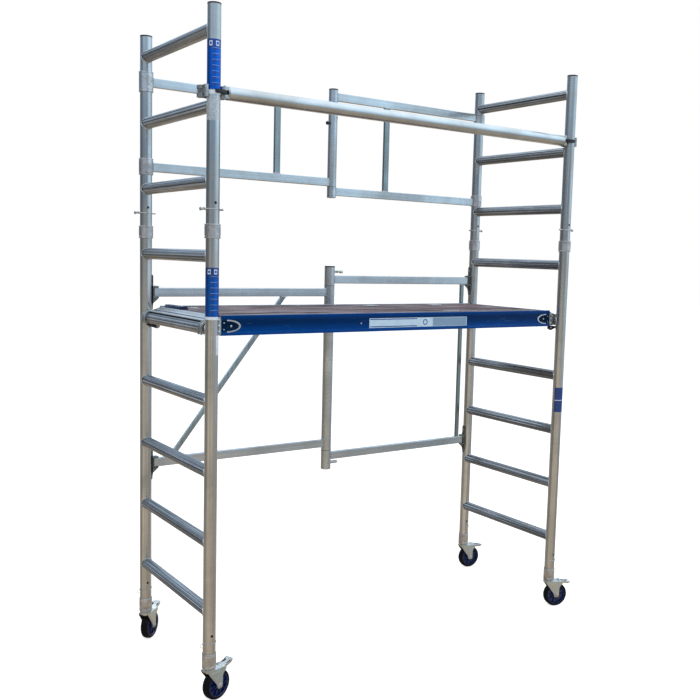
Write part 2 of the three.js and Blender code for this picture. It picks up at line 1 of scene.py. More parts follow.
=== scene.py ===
# Looks of a folding aluminium room scaffold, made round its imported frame. The shapes are drawn in
# millimetres in the tower's own frame, whose origin is on the floor midway between the four uprights,
# and become metres when a piece's mesh is made.
import json
import math

import bmesh
import bpy
from mathutils import Matrix, Vector


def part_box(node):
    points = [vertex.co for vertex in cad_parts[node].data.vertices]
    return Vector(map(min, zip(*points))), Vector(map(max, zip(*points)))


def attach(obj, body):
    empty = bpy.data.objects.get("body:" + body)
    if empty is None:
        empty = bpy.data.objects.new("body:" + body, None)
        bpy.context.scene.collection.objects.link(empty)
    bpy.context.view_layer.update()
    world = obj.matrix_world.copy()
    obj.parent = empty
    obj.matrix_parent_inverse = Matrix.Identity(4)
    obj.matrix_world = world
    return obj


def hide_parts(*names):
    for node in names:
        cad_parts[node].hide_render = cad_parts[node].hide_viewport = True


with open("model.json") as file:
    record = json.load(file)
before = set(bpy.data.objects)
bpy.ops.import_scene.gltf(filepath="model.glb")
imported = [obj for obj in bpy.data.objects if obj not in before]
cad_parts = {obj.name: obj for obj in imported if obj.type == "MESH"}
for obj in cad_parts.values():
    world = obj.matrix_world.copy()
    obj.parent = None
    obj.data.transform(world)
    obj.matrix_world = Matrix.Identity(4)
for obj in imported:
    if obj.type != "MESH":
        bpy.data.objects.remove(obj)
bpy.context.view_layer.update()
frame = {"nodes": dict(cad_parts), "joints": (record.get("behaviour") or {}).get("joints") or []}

MM = 0.001
SIDES = {"left": -1, "right": 1}
DEPTHS = {"near": -1, "far": 1}
CORNERS = {f"{side}_{depth}": (side, depth) for side in SIDES for depth in DEPTHS}

TUBE_R = 25.4
TUBE_BORE_R = 23.4
RUNG_R = 24.0
RUNG_PITCH = 280.0
FIRST_RUNG_Z = 370.0
SLEEVE_R = 30.5
DECK_RUNG_Z = FIRST_RUNG_Z + 4 * RUNG_PITCH
TUBE_STEPS = 64
WELD_R = 2.3


# ---------- where things are ----------
def frame_middle():
    """Midway between the four uprights, on the floor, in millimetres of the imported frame."""
    low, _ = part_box("left_lower_frame")
    _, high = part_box("right_lower_frame")
    return Vector(((low.x + high.x) / 2, (low.y + high.y) / 2, 0)) / MM


HOME = frame_middle()


def span(node):
    """Lowest and highest corner of a CAD node, in the tower's millimetres."""
    low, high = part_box(node)
    return low / MM - HOME, high / MM - HOME


def middle(node):
    """The middle of a CAD node's box."""
    low, high = span(node)
    return (low + high) / 2


JOINTS = {joint["name"]: joint for joint in frame["joints"]}


def pivot(joint):
    """Where a joint turns or slides."""
    return Vector(JOINTS[joint]["pos_m"]) / MM - HOME


UPRIGHT_X = {side: middle(f"{side}_lower_frame").x for side in SIDES}
UPRIGHT_Y = {"near": span("left_lower_frame")[0].y + TUBE_R, "far": span("left_lower_frame")[1].y - TUBE_R}


def upright(corner):
    """The axis of a corner's upright, seen from above."""
    side, depth = CORNERS[corner]
    return UPRIGHT_X[side], UPRIGHT_Y[depth]


def move(x=0.0, y=0.0, z=0.0):
    return Matrix.Translation((x, y, z))


def spin(degrees, axis="Z"):
    return Matrix.Rotation(math.radians(degrees), 4, axis)


def aim(at, direction):
    """A local frame at a point, with its Z along the direction."""
    return Matrix.Translation(at) @ Vector(direction).to_track_quat("Z", "Y").to_matrix().to_4x4()


MIRROR = Matrix.Diagonal((-1, 1, 1, 1))


# ---------- outlines ----------
def circle(radius, steps=TUBE_STEPS, at=(0.0, 0.0)):
    turns = [2 * math.pi * k / steps for k in range(steps)]
    return [(at[0] + radius * math.cos(a), at[1] + radius * math.sin(a)) for a in turns]


def rectangle(low, high):
    return [(low[0], low[1]), (high[0], low[1]), (high[0], high[1]), (low[0], high[1])]


def rounded(corners, radius, steps=4):
    """The outline with its corners rounded; a corner's own radius may be its third number."""
    outline = []
    for index, corner in enumerate(corners):
        here = Vector(corner[:2])
        back = Vector(corners[index - 1][:2]) - here
        ahead = Vector(corners[(index + 1) % len(corners)][:2]) - here
        wanted = corner[2] if len(corner) > 2 else radius
        reach = min(wanted, 0.48 * back.length, 0.48 * ahead.length)
        start, end = here + back.normalized() * reach, here + ahead.normalized() * reach
        for k in range(steps + 1):
            t = k / steps
            outline.append(tuple((1 - t) ** 2 * start + 2 * t * (1 - t) * here + t * t * end))
    return outline


def arc(radius, start, end, at=(0.0, 0.0), steps=12):
    angles = [math.radians(start + (end - start) * k / steps) for k in range(steps + 1)]
    return [(at[0] + radius * math.cos(a), at[1] + radius * math.sin(a)) for a in angles]


def shrunk(outline, share):
    """The outline drawn smaller about its middle."""
    centre = sum((Vector(p) for p in outline), Vector((0, 0))) / len(outline)
    return [tuple(centre + (Vector(p) - centre) * share) for p in outline]


def fine(loop, step):
    """A closed run of 3-D points, resampled to even steps."""
    loop = [Vector(p) for p in loop]
    lengths = [(loop[(k + 1) % len(loop)] - p).length for k, p in enumerate(loop)]
    count = max(8, round(sum(lengths) / step))
    total, out, k, passed = sum(lengths), [], 0, 0.0
    for index in range(count):
        target = total * index / count
        while passed + lengths[k] < target:
            passed += lengths[k]
            k += 1
        share = (target - passed) / max(lengths[k], 1e-9)
        out.append(loop[k].lerp(loop[(k + 1) % len(loop)], share))
    return out


# ---------- shapes ----------
AXES = {"X": lambda u, v, h: (h, u, v), "Y": lambda u, v, h: (u, h, v), "Z": lambda u, v, h: (u, v, h)}


class Shape:
    """The points and faces of one piece, in the tower's millimetres."""

    def __init__(self):
        self.points, self.faces, self.finishes = [], [], []
        self.place = Matrix.Identity(4)

    def inside(self, place):
        """The same piece, drawn in a local frame."""
        part = Shape()
        part.points, part.faces, part.finishes = self.points, self.faces, self.finishes
        part.place = self.place @ place
        return part

    def add(self, points, faces, finish=0):
        start = len(self.points)
        self.points += [self.place @ Vector(point) for point in points]
        self.faces += [[start + index for index in face] for face in faces]
        self.finishes += [finish] * len(faces)

    def skin(self, rings, finish=0, loop=False):
        """Joins rings of equally many points, with a cap at each end or from the last to the first."""
        count = len(rings[0])
        faces = []
        for row in range(len(rings) if loop else len(rings) - 1):
            here, after = row * count, (row + 1) % len(rings) * count
            for k in range(count):
                nxt = (k + 1) % count
                faces.append((here + k, here + nxt, after + nxt, after + k))
        if not loop:
            last = (len(rings) - 1) * count
            faces += [tuple(range(count))[::-1], tuple(range(last, last + count))]
        self.add([point for ring in rings for point in ring], faces, finish)

    def plate(self, outline, low, high, axis="Y", finish=0):
        """An outline extruded along an axis."""
        put = AXES[axis]
        self.skin([[put(u, v, level) for u, v in outline] for level in (low, high)], finish)

    def pipe(self, outer, inner, low, high, axis="Z", finish=0):
        """A hollow section; outer and inner have equally many points."""
        put = AXES[axis]
        walls = [(outer, low), (outer, high), (inner, high), (inner, low)]
        self.skin([[put(u, v, level) for u, v in ring] for ring, level in walls], finish, loop=True)

    def block(self, low, high, finish=0):
        self.plate(rectangle(low[:2], high[:2]), low[2], high[2], "Z", finish)

    def turn(self, profile, steps=48, finish=0):
        """Spins a (radius, height) outline about the local Z. Points on the axis are single points."""
        points, rows = [], []
        for radius, height in profile:
            ring = [(0, 0)] if radius == 0 else circle(radius, steps)
            rows.append([len(points) + k for k in range(len(ring))])
            points += [(u, v, height) for u, v in ring]
        faces = []
        for index, row in enumerate(rows):
            after = rows[(index + 1) % len(rows)]
            if len(row) == len(after) == 1:
                continue
            for k in range(steps):
                face = [row[k % len(row)], row[(k + 1) % len(row)],
                        after[(k + 1) % len(after)], after[k % len(after)]]
                faces.append(list(dict.fromkeys(face)))
        self.add(points, faces, finish)

    def sweep(self, path, radius, sides=8, finish=0, loop=False):
        """A round bar along a path. The radius is one number, or one for each point."""
        path = [Vector(point) for point in path]
        radii = radius if isinstance(radius, list) else [radius] * len(path)
        normal, rings = None, []
        for k, point in enumerate(path):
            ahead = path[(k + 1) % len(path)] if loop or k + 1 < len(path) else point
            behind = path[k - 1] if loop or k else point
            along = (ahead - behind).normalized()
            normal = along.orthogonal() if normal is None else normal - along * normal.dot(along)
            normal.normalize()
            side = along.cross(normal)
            rings.append([point + radii[k] * (normal * u + side * v) for u, v in circle(1, sides)])
        self.skin(rings, finish, loop)

    def weld(self, loop, radius=WELD_R, finish=0):
        """A rippled weld bead along a closed run of points."""
        path = fine(loop, 1.1)
        radii = [radius + 0.38 * math.sin(k * 1.75) + 0.2 * math.sin(k * 0.31) for k in range(len(path))]
        self.sweep(path, radii, 6, finish, loop=True)

    def rivet(self, at, direction, radius=4.0, finish=0):
        """A low dome on a face."""
        dome = [(0, -1.5), (radius, -1.5), (radius, 0.2), (0.86 * radius, 0.42 * radius),
                (0.5 * radius, 0.62 * radius), (0, 0.68 * radius)]
        self.inside(aim(at, direction)).turn(dome, 20, finish)

    def bolt(self, at, direction, across=10.0, height=5.0, finish=0):
        """A hexagon head on a washer."""
        local = self.inside(aim(at, direction))
        washer = 0.72 * across
        local.turn([(0, -0.5), (washer, -0.5), (washer, 1.0), (washer - 0.4, 1.4), (0, 1.4)], 28, finish)
        corner = across / math.sqrt(3)
        hexagon, top = circle(corner, 6), circle(0.86 * corner, 6)
        rings = [[(u, v, 1.2) for u, v in hexagon], [(u, v, height) for u, v in hexagon],
                 [(u, v, height + 0.8) for u, v in top]]
        local.skin(rings, finish)

    def ring(self, at, direction, radius, wire, finish=0, steps=40):
        """A closed ring of wire."""
        loop = [(u, v, 0) for u, v in circle(radius, steps)]
        self.inside(aim(at, direction)).sweep(loop, wire, 8, finish, loop=True)


def make(name, shape, materials, body="root", stands_for=(), edge=0.0):
    """Makes a piece's object. Edge is the width of the rounding on its sharp edges."""
    mesh = bpy.data.meshes.new(name)
    mesh.from_pydata([(HOME + point) * MM for point in shape.points], [], shape.faces)
    for material in materials:
        mesh.materials.append(material)
    mesh.polygons.foreach_set("material_index", shape.finishes)
    work = bmesh.new()
    work.from_mesh(mesh)
    bmesh.ops.delete(work, geom=[v for v in work.verts if not v.link_faces], context="VERTS")
    bmesh.ops.recalc_face_normals(work, faces=work.faces)
    work.to_mesh(mesh)
    work.free()
    mesh.shade_smooth()
    piece = bpy.data.objects.new(name, mesh)
    bpy.context.scene.collection.objects.link(piece)
    if edge:
        bevel = piece.modifiers.new("rounded edges", "BEVEL")
        bevel.width, bevel.segments = edge * MM, 2
        bevel.limit_method, bevel.angle_limit = "ANGLE", math.radians(32)
        shading = piece.modifiers.new("even shading", "WEIGHTED_NORMAL")
        shading.keep_sharp = True
    else:
        mesh.set_sharp_from_angle(angle=math.radians(38))
    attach(piece, body)
    if stands_for:
        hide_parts(*stands_for)
    return piece


# ---------- materials ----------
class Nodes:
    """What a material's and the world's node trees have in common."""

    def node(self, kind, inputs=(), **settings):
        """A node with its settings, and its inputs given as values or as other nodes' outputs."""
        made = self.tree.nodes.new(kind)
        for setting, value in settings.items():
            setattr(made, setting, value)
        for socket, value in dict(inputs).items():
            if isinstance(value, bpy.types.NodeSocket):
                self.tree.links.new(value, made.inputs[socket])
            else:
                made.inputs[socket].default_value = value
        return made


class Recipe(Nodes):
    """A node material: a Principled shader and the textures that feed it, in object coordinates."""

    def __init__(self, name, colour, metallic=0.0, roughness=0.5, **sockets):
        self.material = bpy.data.materials.new(name)
        self.material.use_nodes = True
        self.tree = self.material.node_tree
        self.shader = self.tree.nodes["Principled BSDF"]
        self.colour = (*colour, 1)
        self.roughness = roughness
        self.shader.inputs["Base Color"].default_value = self.colour
        self.shader.inputs["Metallic"].default_value = metallic
        self.shader.inputs["Roughness"].default_value = roughness
        for socket, value in sockets.items():
            self.shader.inputs[socket.replace("_", " ")].default_value = value
        self.where = self.node("ShaderNodeTexCoord").outputs["Object"]

    def feed(self, socket, output):
        self.tree.links.new(output, self.shader.inputs[socket])

    def noise(self, scale, detail=4.0, rough=0.6, twist=0.0):
        """Noise with its own scale along X, Y and Z."""
        spread = self.node("ShaderNodeMapping", {"Vector": self.where, "Scale": scale})
        texture = self.node("ShaderNodeTexNoise", {"Vector": spread.outputs[0], "Scale": 1.0,
                            "Detail": detail, "Roughness": rough, "Distortion": twist})
        return texture.outputs["Fac"]

    def cells(self, scale, feature="DISTANCE_TO_EDGE"):
        spread = self.node("ShaderNodeMapping", {"Vector": self.where, "Scale": scale})
        return self.node("ShaderNodeTexVoronoi", {"Vector": spread.outputs[0], "Scale": 1.0},
                         feature=feature).outputs[0]

    def ranged(self, value, low, high, to_low=0.0, to_high=1.0):
        return self.node("ShaderNodeMapRange", {"Value": value, "From Min": low, "From Max": high,
                         "To Min": to_low, "To Max": to_high}).outputs[0]

    def sum(self, first, second, operation="ADD"):
        return self.node("ShaderNodeMath", {0: first, 1: second}, operation=operation).outputs[0]

    def blend(self, share, first, second, mode="MIX"):
        mixed = {0: share, 6: first, 7: second}
        return self.node("ShaderNodeMix", mixed, data_type="RGBA", blend_type=mode).outputs[2]

    def bump(self, height, depth, normal=None):
        inputs = {"Height": height, "Strength": 1.0, "Distance": depth * MM}
        if normal is not None:
            inputs["Normal"] = normal
        return self.node("ShaderNodeBump", inputs).outputs[0]

    def shade(self, share, darker):
        """The recipe's colour, multiplied towards a darker or lighter one."""
        return self.blend(share, self.colour, (*[c * d for c, d in zip(self.colour, darker)], 1))


def extruded(name, colour, along, roughness=0.36, streaks=0.12, stain=(0.74, 0.72, 0.68)):
    """Extruded aluminium: die lines and streaks along one axis, cloudy oxide, scratches and dents."""
    recipe = Recipe(name, colour, metallic=1.0, roughness=roughness)

    def stretched(across, length):
        scale = [across] * 3
        scale["XYZ".index(along)] = length
        return scale

    lines = recipe.noise(stretched(700.0, 2.5), 3.0, 0.7)
    bands = recipe.noise(stretched(95.0, 0.9), 2.0, 0.6)
    clouds = recipe.noise((5.0, 5.0, 5.0), 5.0, 0.6, 0.6)
    spots = recipe.noise(stretched(60.0, 28.0), 6.0, 0.75)
    marks = recipe.ranged(recipe.noise(stretched(210.0, 16.0), 2.0, 0.5, 1.6), 0.66, 0.71)
    stained = recipe.shade(recipe.ranged(clouds, 0.36, 0.72), stain)
    streak_tone, spot_tone = [(*[share * c for c in colour], 1) for share in (0.3, 0.42)]
    banded = recipe.blend(recipe.ranged(bands, 0.42, 0.6, streaks, 0.0), stained, streak_tone)
    speckled = recipe.blend(recipe.ranged(spots, 0.58, 0.74, 0.0, 0.25), banded, spot_tone)
    scratched = recipe.blend(recipe.sum(marks, 0.25, "MULTIPLY"), speckled, (0.86, 0.88, 0.9, 1))
    recipe.feed("Base Color", scratched)
    worn = recipe.sum(recipe.ranged(clouds, 0.3, 0.75, roughness - 0.07, roughness + 0.1),
                      recipe.ranged(lines, 0.3, 0.7, -0.05, 0.06))
    recipe.feed("Roughness", worn)
    drawn = recipe.bump(lines, 0.05)
    recipe.feed("Normal", recipe.bump(recipe.sum(spots, marks, "SUBTRACT"), 0.04, drawn))
    return recipe.material


def cast(name, colour, roughness=0.5, grain=0.22, metallic=1.0):
    """Sand-cast aluminium: pitted skin, with shine where it has been handled."""
    recipe = Recipe(name, colour, metallic=metallic, roughness=roughness)
    pits = recipe.noise((560.0, 560.0, 560.0), 4.0, 0.7)
    lumps = recipe.noise((60.0, 60.0, 60.0), 3.0, 0.5)
    soot = recipe.noise((22.0, 22.0, 22.0), 5.0, 0.65, 0.5)
    recipe.feed("Base Color", recipe.shade(recipe.ranged(soot, 0.4, 0.7), (0.5, 0.5, 0.5)))
    recipe.feed("Roughness", recipe.ranged(soot, 0.3, 0.7, roughness - 0.12, roughness + 0.15))
    recipe.feed("Normal", recipe.bump(pits, grain, recipe.bump(lumps, 0.6)))
    return recipe.material


def zinc_plate(name="zinc_plate"):
    """Yellow-passivated zinc on pressed steel, mottled and rubbed bare in places."""
    recipe = Recipe(name, (0.64, 0.62, 0.52), metallic=1.0, roughness=0.26)
    mottle = recipe.noise((26.0, 26.0, 26.0), 5.0, 0.65, 1.0)
    grain = recipe.noise((480.0, 480.0, 480.0), 2.0, 0.6)
    tint = recipe.blend(recipe.ranged(mottle, 0.35, 0.68), recipe.colour, (0.6, 0.68, 0.72, 1))
    rub = recipe.ranged(recipe.noise((90.0, 90.0, 90.0), 4.0, 0.7), 0.6, 0.72, 0.0, 0.6)
    recipe.feed("Base Color", recipe.blend(rub, tint, (0.34, 0.3, 0.25, 1)))
    recipe.feed("Roughness", recipe.ranged(mottle, 0.3, 0.7, 0.26, 0.46))
    recipe.feed("Normal", recipe.bump(grain, 0.05))
    return recipe.material


def moulded(name, colour, roughness=0.5, scuffed=(1.7, 1.7, 1.7), grain=0.08, coat=0.0):
    """Moulded plastic: fine texture, chalky scuffs."""
    recipe = Recipe(name, colour, roughness=roughness, Coat_Weight=coat)
    texture = recipe.noise((900.0, 900.0, 900.0), 2.0, 0.5)
    scuffs = recipe.noise((34.0, 34.0, 110.0), 6.0, 0.75, 0.8)
    worn = recipe.ranged(scuffs, 0.54, 0.76, 0.0, 0.55)
    recipe.feed("Base Color", recipe.shade(worn, scuffed))
    recipe.feed("Roughness", recipe.ranged(scuffs, 0.35, 0.7, roughness - 0.06, roughness + 0.14))
    recipe.feed("Normal", recipe.bump(texture, grain))
    return recipe.material


def rubber(name="tyre_rubber"):
    """Black tyre rubber with floor dust in its grain."""
    recipe = Recipe(name, (0.003, 0.003, 0.004), roughness=0.5, Specular_IOR_Level=0.1)
    grain = recipe.noise((420.0, 420.0, 420.0), 4.0, 0.7)
    dust = recipe.noise((30.0, 30.0, 30.0), 6.0, 0.75, 0.4)
    recipe.feed("Base Color", recipe.blend(recipe.ranged(dust, 0.6, 0.82, 0.0, 0.12), recipe.colour,
                                           (0.1, 0.09, 0.09, 1)))
    recipe.feed("Roughness", recipe.ranged(dust, 0.4, 0.7, 0.42, 0.72))
    recipe.feed("Normal", recipe.bump(grain, 0.12))
    return recipe.material


def blue_coat(name, colour, roughness=0.3):
    """Blue coating on an extrusion: orange peel, dulled patches, pale scratches and a dark groove."""
    recipe = Recipe(name, colour, roughness=roughness, Specular_IOR_Level=0.4,
                    Specular_Tint=(0.06, 0.42, 1.0, 1))
    peel = recipe.noise((260.0, 260.0, 260.0), 2.0, 0.5)
    dull = recipe.noise((4.0, 26.0, 26.0), 5.0, 0.65, 0.4)
    lines = recipe.noise((9.0, 420.0, 420.0), 3.0, 0.7)
    scratches = recipe.ranged(recipe.noise((17.0, 260.0, 260.0), 3.0, 0.6, 1.4), 0.69, 0.73, 0.0, 0.5)
    low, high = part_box("deck_rail_near")
    groove_z = low.z + 0.62 * (high.z - low.z)
    level = recipe.node("ShaderNodeSeparateXYZ", {0: recipe.where}).outputs["Z"]
    off_groove = recipe.sum(recipe.sum(level, groove_z, "SUBTRACT"), 0.0, "ABSOLUTE")
    dark = recipe.ranged(off_groove, 0.006, 0.034, 0.34, 0.98)
    mottled = recipe.shade(recipe.ranged(dull, 0.35, 0.7), (0.6, 0.66, 0.74))
    banded = recipe.blend(1.0, mottled, dark, "MULTIPLY")
    recipe.feed("Base Color", recipe.blend(scratches, banded, (0.16, 0.26, 0.45, 1)))
    recipe.feed("Roughness", recipe.sum(recipe.ranged(dull, 0.3, 0.7, roughness - 0.06, roughness + 0.14),
                                        recipe.ranged(lines, 0.3, 0.7, -0.04, 0.05)))
    recipe.feed("Normal", recipe.bump(lines, 0.03, recipe.bump(peel, 0.05)))
    return recipe.material


def film_ply(name="film_faced_ply"):
    """Film-faced plywood: brown resin film with a pressed mesh on top, bare plies at the cut edges."""
    recipe = Recipe(name, (0.1, 0.052, 0.048), roughness=0.42, Specular_IOR_Level=0.5)
    grain = recipe.noise((3.0, 60.0, 60.0), 6.0, 0.7, 1.1)
    patches = recipe.noise((1.9, 15.0, 9.0), 5.0, 0.6, 1.6)
    scuffs = recipe.noise((7.0, 22.0, 22.0), 7.0, 0.75, 0.7)
    rust = recipe.noise((1.2, 26.0, 9.0), 4.0, 0.6, 0.9)
    dust = recipe.noise((60.0, 60.0, 60.0), 6.0, 0.8)
    tone = recipe.blend(recipe.ranged(grain, 0.36, 0.64), recipe.colour, (0.3, 0.175, 0.17, 1))
    warm = recipe.blend(recipe.ranged(rust, 0.54, 0.66, 0.0, 0.75), tone, (0.3, 0.115, 0.075, 1))
    trodden = recipe.blend(recipe.ranged(patches, 0.4, 0.58), recipe.shade(1.0, (0.26, 0.3, 0.38)), warm)
    dusty = recipe.blend(recipe.ranged(scuffs, 0.5, 0.72, 0.0, 0.5), trodden, (0.3, 0.24, 0.27, 1))
    flecked = recipe.blend(recipe.ranged(dust, 0.62, 0.74, 0.0, 0.4), dusty, (0.42, 0.38, 0.36, 1))
    mesh = recipe.cells((150.0, 150.0, 1.0))
    plies = recipe.node("ShaderNodeTexWave", {"Vector": recipe.where, "Scale": 105.0, "Distortion": 0.6,
                        "Detail": 2.0}, bands_direction="Z").outputs["Fac"]
    edge_tone = recipe.blend(plies, (0.1, 0.055, 0.035, 1), (0.36, 0.23, 0.13, 1))
    facing = recipe.node("ShaderNodeSeparateXYZ", {0: recipe.node("ShaderNodeTexCoord").outputs["Normal"]})
    flat = recipe.ranged(recipe.sum(facing.outputs["Z"], 0.0, "ABSOLUTE"), 0.4, 0.7)
    recipe.feed("Base Color", recipe.blend(flat, edge_tone, flecked))
    recipe.feed("Roughness", recipe.ranged(patches, 0.42, 0.6, 0.8, 0.34))
    recipe.feed("Normal", recipe.bump(recipe.ranged(mesh, 0.0, 0.12), 0.28, recipe.bump(grain, 0.15)))
    return recipe.material


def printed_film(name, colour, roughness=0.35, alpha=1.0, metallic=0.0):
    """Printed sticker film: slightly cloudy, with rubbed specks. A metallised film shines like foil."""
    recipe = Recipe(name, colour, metallic, roughness, Specular_IOR_Level=0.3, Coat_Weight=0.1,
                    Coat_Roughness=0.12, Alpha=alpha)
    clouds = recipe.noise((30.0, 30.0, 30.0), 5.0, 0.65)
    rub = recipe.ranged(recipe.noise((160.0, 160.0, 160.0), 4.0, 0.7), 0.66, 0.74, 0.0, 0.4)
    tone = recipe.shade(recipe.ranged(clouds, 0.35, 0.7), (0.78, 0.82, 0.86))
    recipe.feed("Base Color", recipe.blend(rub, tone, (0.7, 0.74, 0.8, 1)))
    recipe.feed("Roughness", recipe.ranged(clouds, 0.3, 0.7, roughness - 0.08, roughness + 0.12))
    return recipe.material


TUBE_METAL = extruded("upright_aluminium", (0.74, 0.74, 0.73), "Z", 0.23, 0.28)
BAR_METAL = extruded("bar_aluminium", (0.47, 0.54, 0.55), "Z", 0.28, 0.4)
BORE_METAL = extruded("tube_bore", (0.1, 0.1, 0.1), "Z", 0.6)
RUNG_METAL = extruded("rung_aluminium", (0.47, 0.49, 0.53), "Y", 0.2, 0.8)
RAIL_METAL = extruded("rail_aluminium", (0.73, 0.76, 0.78), "X", 0.27, 0.15)
BARE_EDGE = extruded("edging_aluminium", (0.72, 0.73, 0.75), "X", 0.3)
WELD_METAL = cast("weld_aluminium", (0.68, 0.68, 0.67), 0.3, 0.1)
CAST_METAL = cast("cast_aluminium", (0.62, 0.63, 0.62), 0.4)
DARK_CAST = cast("dark_bracket", (0.25, 0.25, 0.24), 0.34, 0.3)
SLEEVE_METAL = cast("grey_sleeve", (0.78, 0.75, 0.74), 0.32, 0.06)
ZINC = zinc_plate()
BRIGHT = cast("bright_zinc", (0.74, 0.74, 0.72), 0.24, 0.03)
PALE_PLASTIC = cast("pale_socket", (0.56, 0.53, 0.5), 0.34, 0.08, metallic=0.85)
BLACK_PLASTIC = moulded("black_plastic", (0.007, 0.007, 0.009), 0.38, (3.2, 3.2, 3.2))
NAVY_PLASTIC = moulded("navy_nylon", (0.001, 0.009, 0.062), 0.22, (1.6, 1.8, 1.6), 0.03, coat=0.3)
BLACK_RUBBER = rubber()
BLUE = blue_coat("blue_coating", (0.0, 0.032, 0.17))
DARK_BLUE = blue_coat("recess_coating", (0.0, 0.01, 0.04), 0.5)
PLY = film_ply()
LABEL_BLUE = printed_film("label_blue", (0.013, 0.14, 0.6), 0.24, metallic=0.94)
LABEL_NAVY = printed_film("label_header", (0.05, 0.1, 0.32), 0.26, metallic=0.85)
LABEL_WHITE = printed_film("label_white", (0.5, 0.55, 0.6))
LABEL_SILVER = printed_film("label_silver", (0.38, 0.5, 0.6), 0.26)
LABEL_GREY = printed_film("label_grey", (0.16, 0.24, 0.34), 0.26)
CLEAR_FILM = printed_film("clear_film", (0.62, 0.68, 0.72), 0.2, 0.2)


# ---------- end frames ----------
def pierced_tube(shape, x, y, low, high, holes=()):
    """An upright. Each hole is (direction in degrees, height, radius) and goes through one wall.

    The walls are a grid of rings and columns. Round each hole a window of cells is left out, and
    its edge is joined to the hole's own rim."""
    lip, cell, reach = 0.7, 3.5, 3
    levels = {low + lip, high - lip}
    for _, height, _ in holes:
        levels |= {height + cell * k for k in (-2, -1, 0, 1, 2)}
    levels = sorted(levels)
    count = len(levels)
    outline = [(TUBE_R, z) for z in levels] + [(TUBE_R - lip, high), (TUBE_BORE_R + lip, high)]
    outline += [(TUBE_BORE_R, z) for z in reversed(levels)] + [(TUBE_BORE_R + lip, low), (TUBE_R - lip, low)]
    points = [(x + u, y + v, z) for radius, z in outline for u, v in circle(radius)]

    def corner(row, column):
        return row % len(outline) * TUBE_STEPS + column % TUBE_STEPS

    cut, faces, bore = set(), [], []
    for direction, height, radius in holes:
        centre = round(direction / 360 * TUBE_STEPS)
        row = levels.index(height - 2 * cell)
        cut |= {(row + r, (centre + c) % TUBE_STEPS) for r in range(4) for c in range(-reach, reach)}
        window = [(-2, c) for c in range(-reach, reach)] + [(r, reach) for r in range(-2, 2)]
        window += [(-r, -c) for r, c in window]
        rims = []
        for wall_r in (TUBE_R, TUBE_BORE_R):
            rim = []
            for r, c in window:
                around = math.atan2(r * cell, c * 2 * math.pi * wall_r / TUBE_STEPS)
                turn = math.radians(direction) + radius * math.cos(around) / wall_r
                rim.append(len(points))
                points.append((x + wall_r * math.cos(turn), y + wall_r * math.sin(turn),
                               height + radius * math.sin(around)))
            rims.append(rim)
        for k, (r, c) in enumerate(window):
            after_r, after_c = window[(k + 1) % len(window)]
            nxt = (k + 1) % len(window)
            outer_row, inner_row = row + 2, 2 * count + 1 - (row + 2)
            faces.append((corner(outer_row + r, centre + c), corner(outer_row + after_r, centre + after_c),
                          rims[0][nxt], rims[0][k]))
            bore.append((corner(inner_row - r, centre + c), corner(inner_row - after_r, centre + after_c),
                         rims[1][nxt], rims[1][k]))
            faces.append((rims[0][k], rims[0][nxt], rims[1][nxt], rims[1][k]))
    for row in range(len(outline)):
        outer_row = row if row < count else 2 * count - row
        for column in range(TUBE_STEPS):
            if (outer_row, column) in cut and (row < count - 1 or row > count + 1):
                continue
            wall = bore if count + 1 < row < 2 * count + 1 else faces
            wall.append((corner(row, column), corner(row, column + 1),
                         corner(row + 1, column + 1), corner(row + 1, column)))
    shape.add(points, faces)
    shape.add([], [[index - len(points) for index in face] for face in bore], 1)


def ribbed_section():
    """The grooved outline of a rung: broad flats with a round-bottomed groove between them."""
    ribs, depth = 18, 1.3
    section = []
    for rib in range(ribs):
        for share, drop in ((0.0, 0.0), (0.52, 0.0), (0.64, 0.7), (0.76, 1.0), (0.88, 0.7)):
            angle = 2 * math.pi * (rib + share) / ribs
            radius = RUNG_R - depth * drop
            section.append((radius * math.cos(angle), radius * math.sin(angle)))
    return section


RUNG_SECTION = ribbed_section()


def saddle(u, depth_sign, radius=TUBE_R):
    """Where a rung's line at the offset u from its axis meets an upright's skin."""
    return depth_sign * (UPRIGHT_Y["far"] - math.sqrt(radius ** 2 - u ** 2))


def ladder(name, side, first_rung, rungs, holes):
    """One welded end frame: two uprights, the rungs between them and their welds."""
    low, high = span(name)
    x = UPRIGHT_X[side]
    uprights, bars, welds = Shape(), Shape(), Shape()
    for y in UPRIGHT_Y.values():
        pierced_tube(uprights, x, y, low.z, high.z, holes)
    for rung in range(rungs):
        z = first_rung + rung * RUNG_PITCH
        ends = [[(x + u, saddle(u, sign, TUBE_R - 0.5), z + v) for u, v in RUNG_SECTION] for sign in (-1, 1)]
        bars.skin(ends)
        for sign in DEPTHS.values():
            bead = [(x + u, saddle(u, sign, TUBE_R + 0.4), z + v) for u, v in circle(RUNG_R + 0.3)]
            welds.weld(bead)
    make(f"{name}_uprights", uprights, [TUBE_METAL, BORE_METAL], stands_for=[name])
    make(f"{name}_rungs", bars, [RUNG_METAL])
    make(f"{name}_welds", welds, [WELD_METAL])


LOCK_HOLE_Z = middle("lock_pin_left_near").z
COUPLING_HOLE_Z = LOCK_HOLE_Z + 24
STEM_HOLE_Z = 280.0
FRONT, BACK, INNER, OUTER = 270, 90, 0, 180


def ferrule(shape, x, y, top, radius, wall=2.0, finish=0):
    """A plastic ring that finishes the open end of a tube, flush with its top."""
    bore = radius - wall
    ring = [(bore - 1.4, -10.5), (bore + 0.05, -10.5), (bore + 0.05, -6), (radius + 0.45, -6),
            (radius + 0.45, -1), (radius - 0.6, 0), (bore - 0.8, 0), (bore - 1.4, -0.8)]
    shape.inside(move(x, y, top)).turn(ring, TUBE_STEPS, finish)


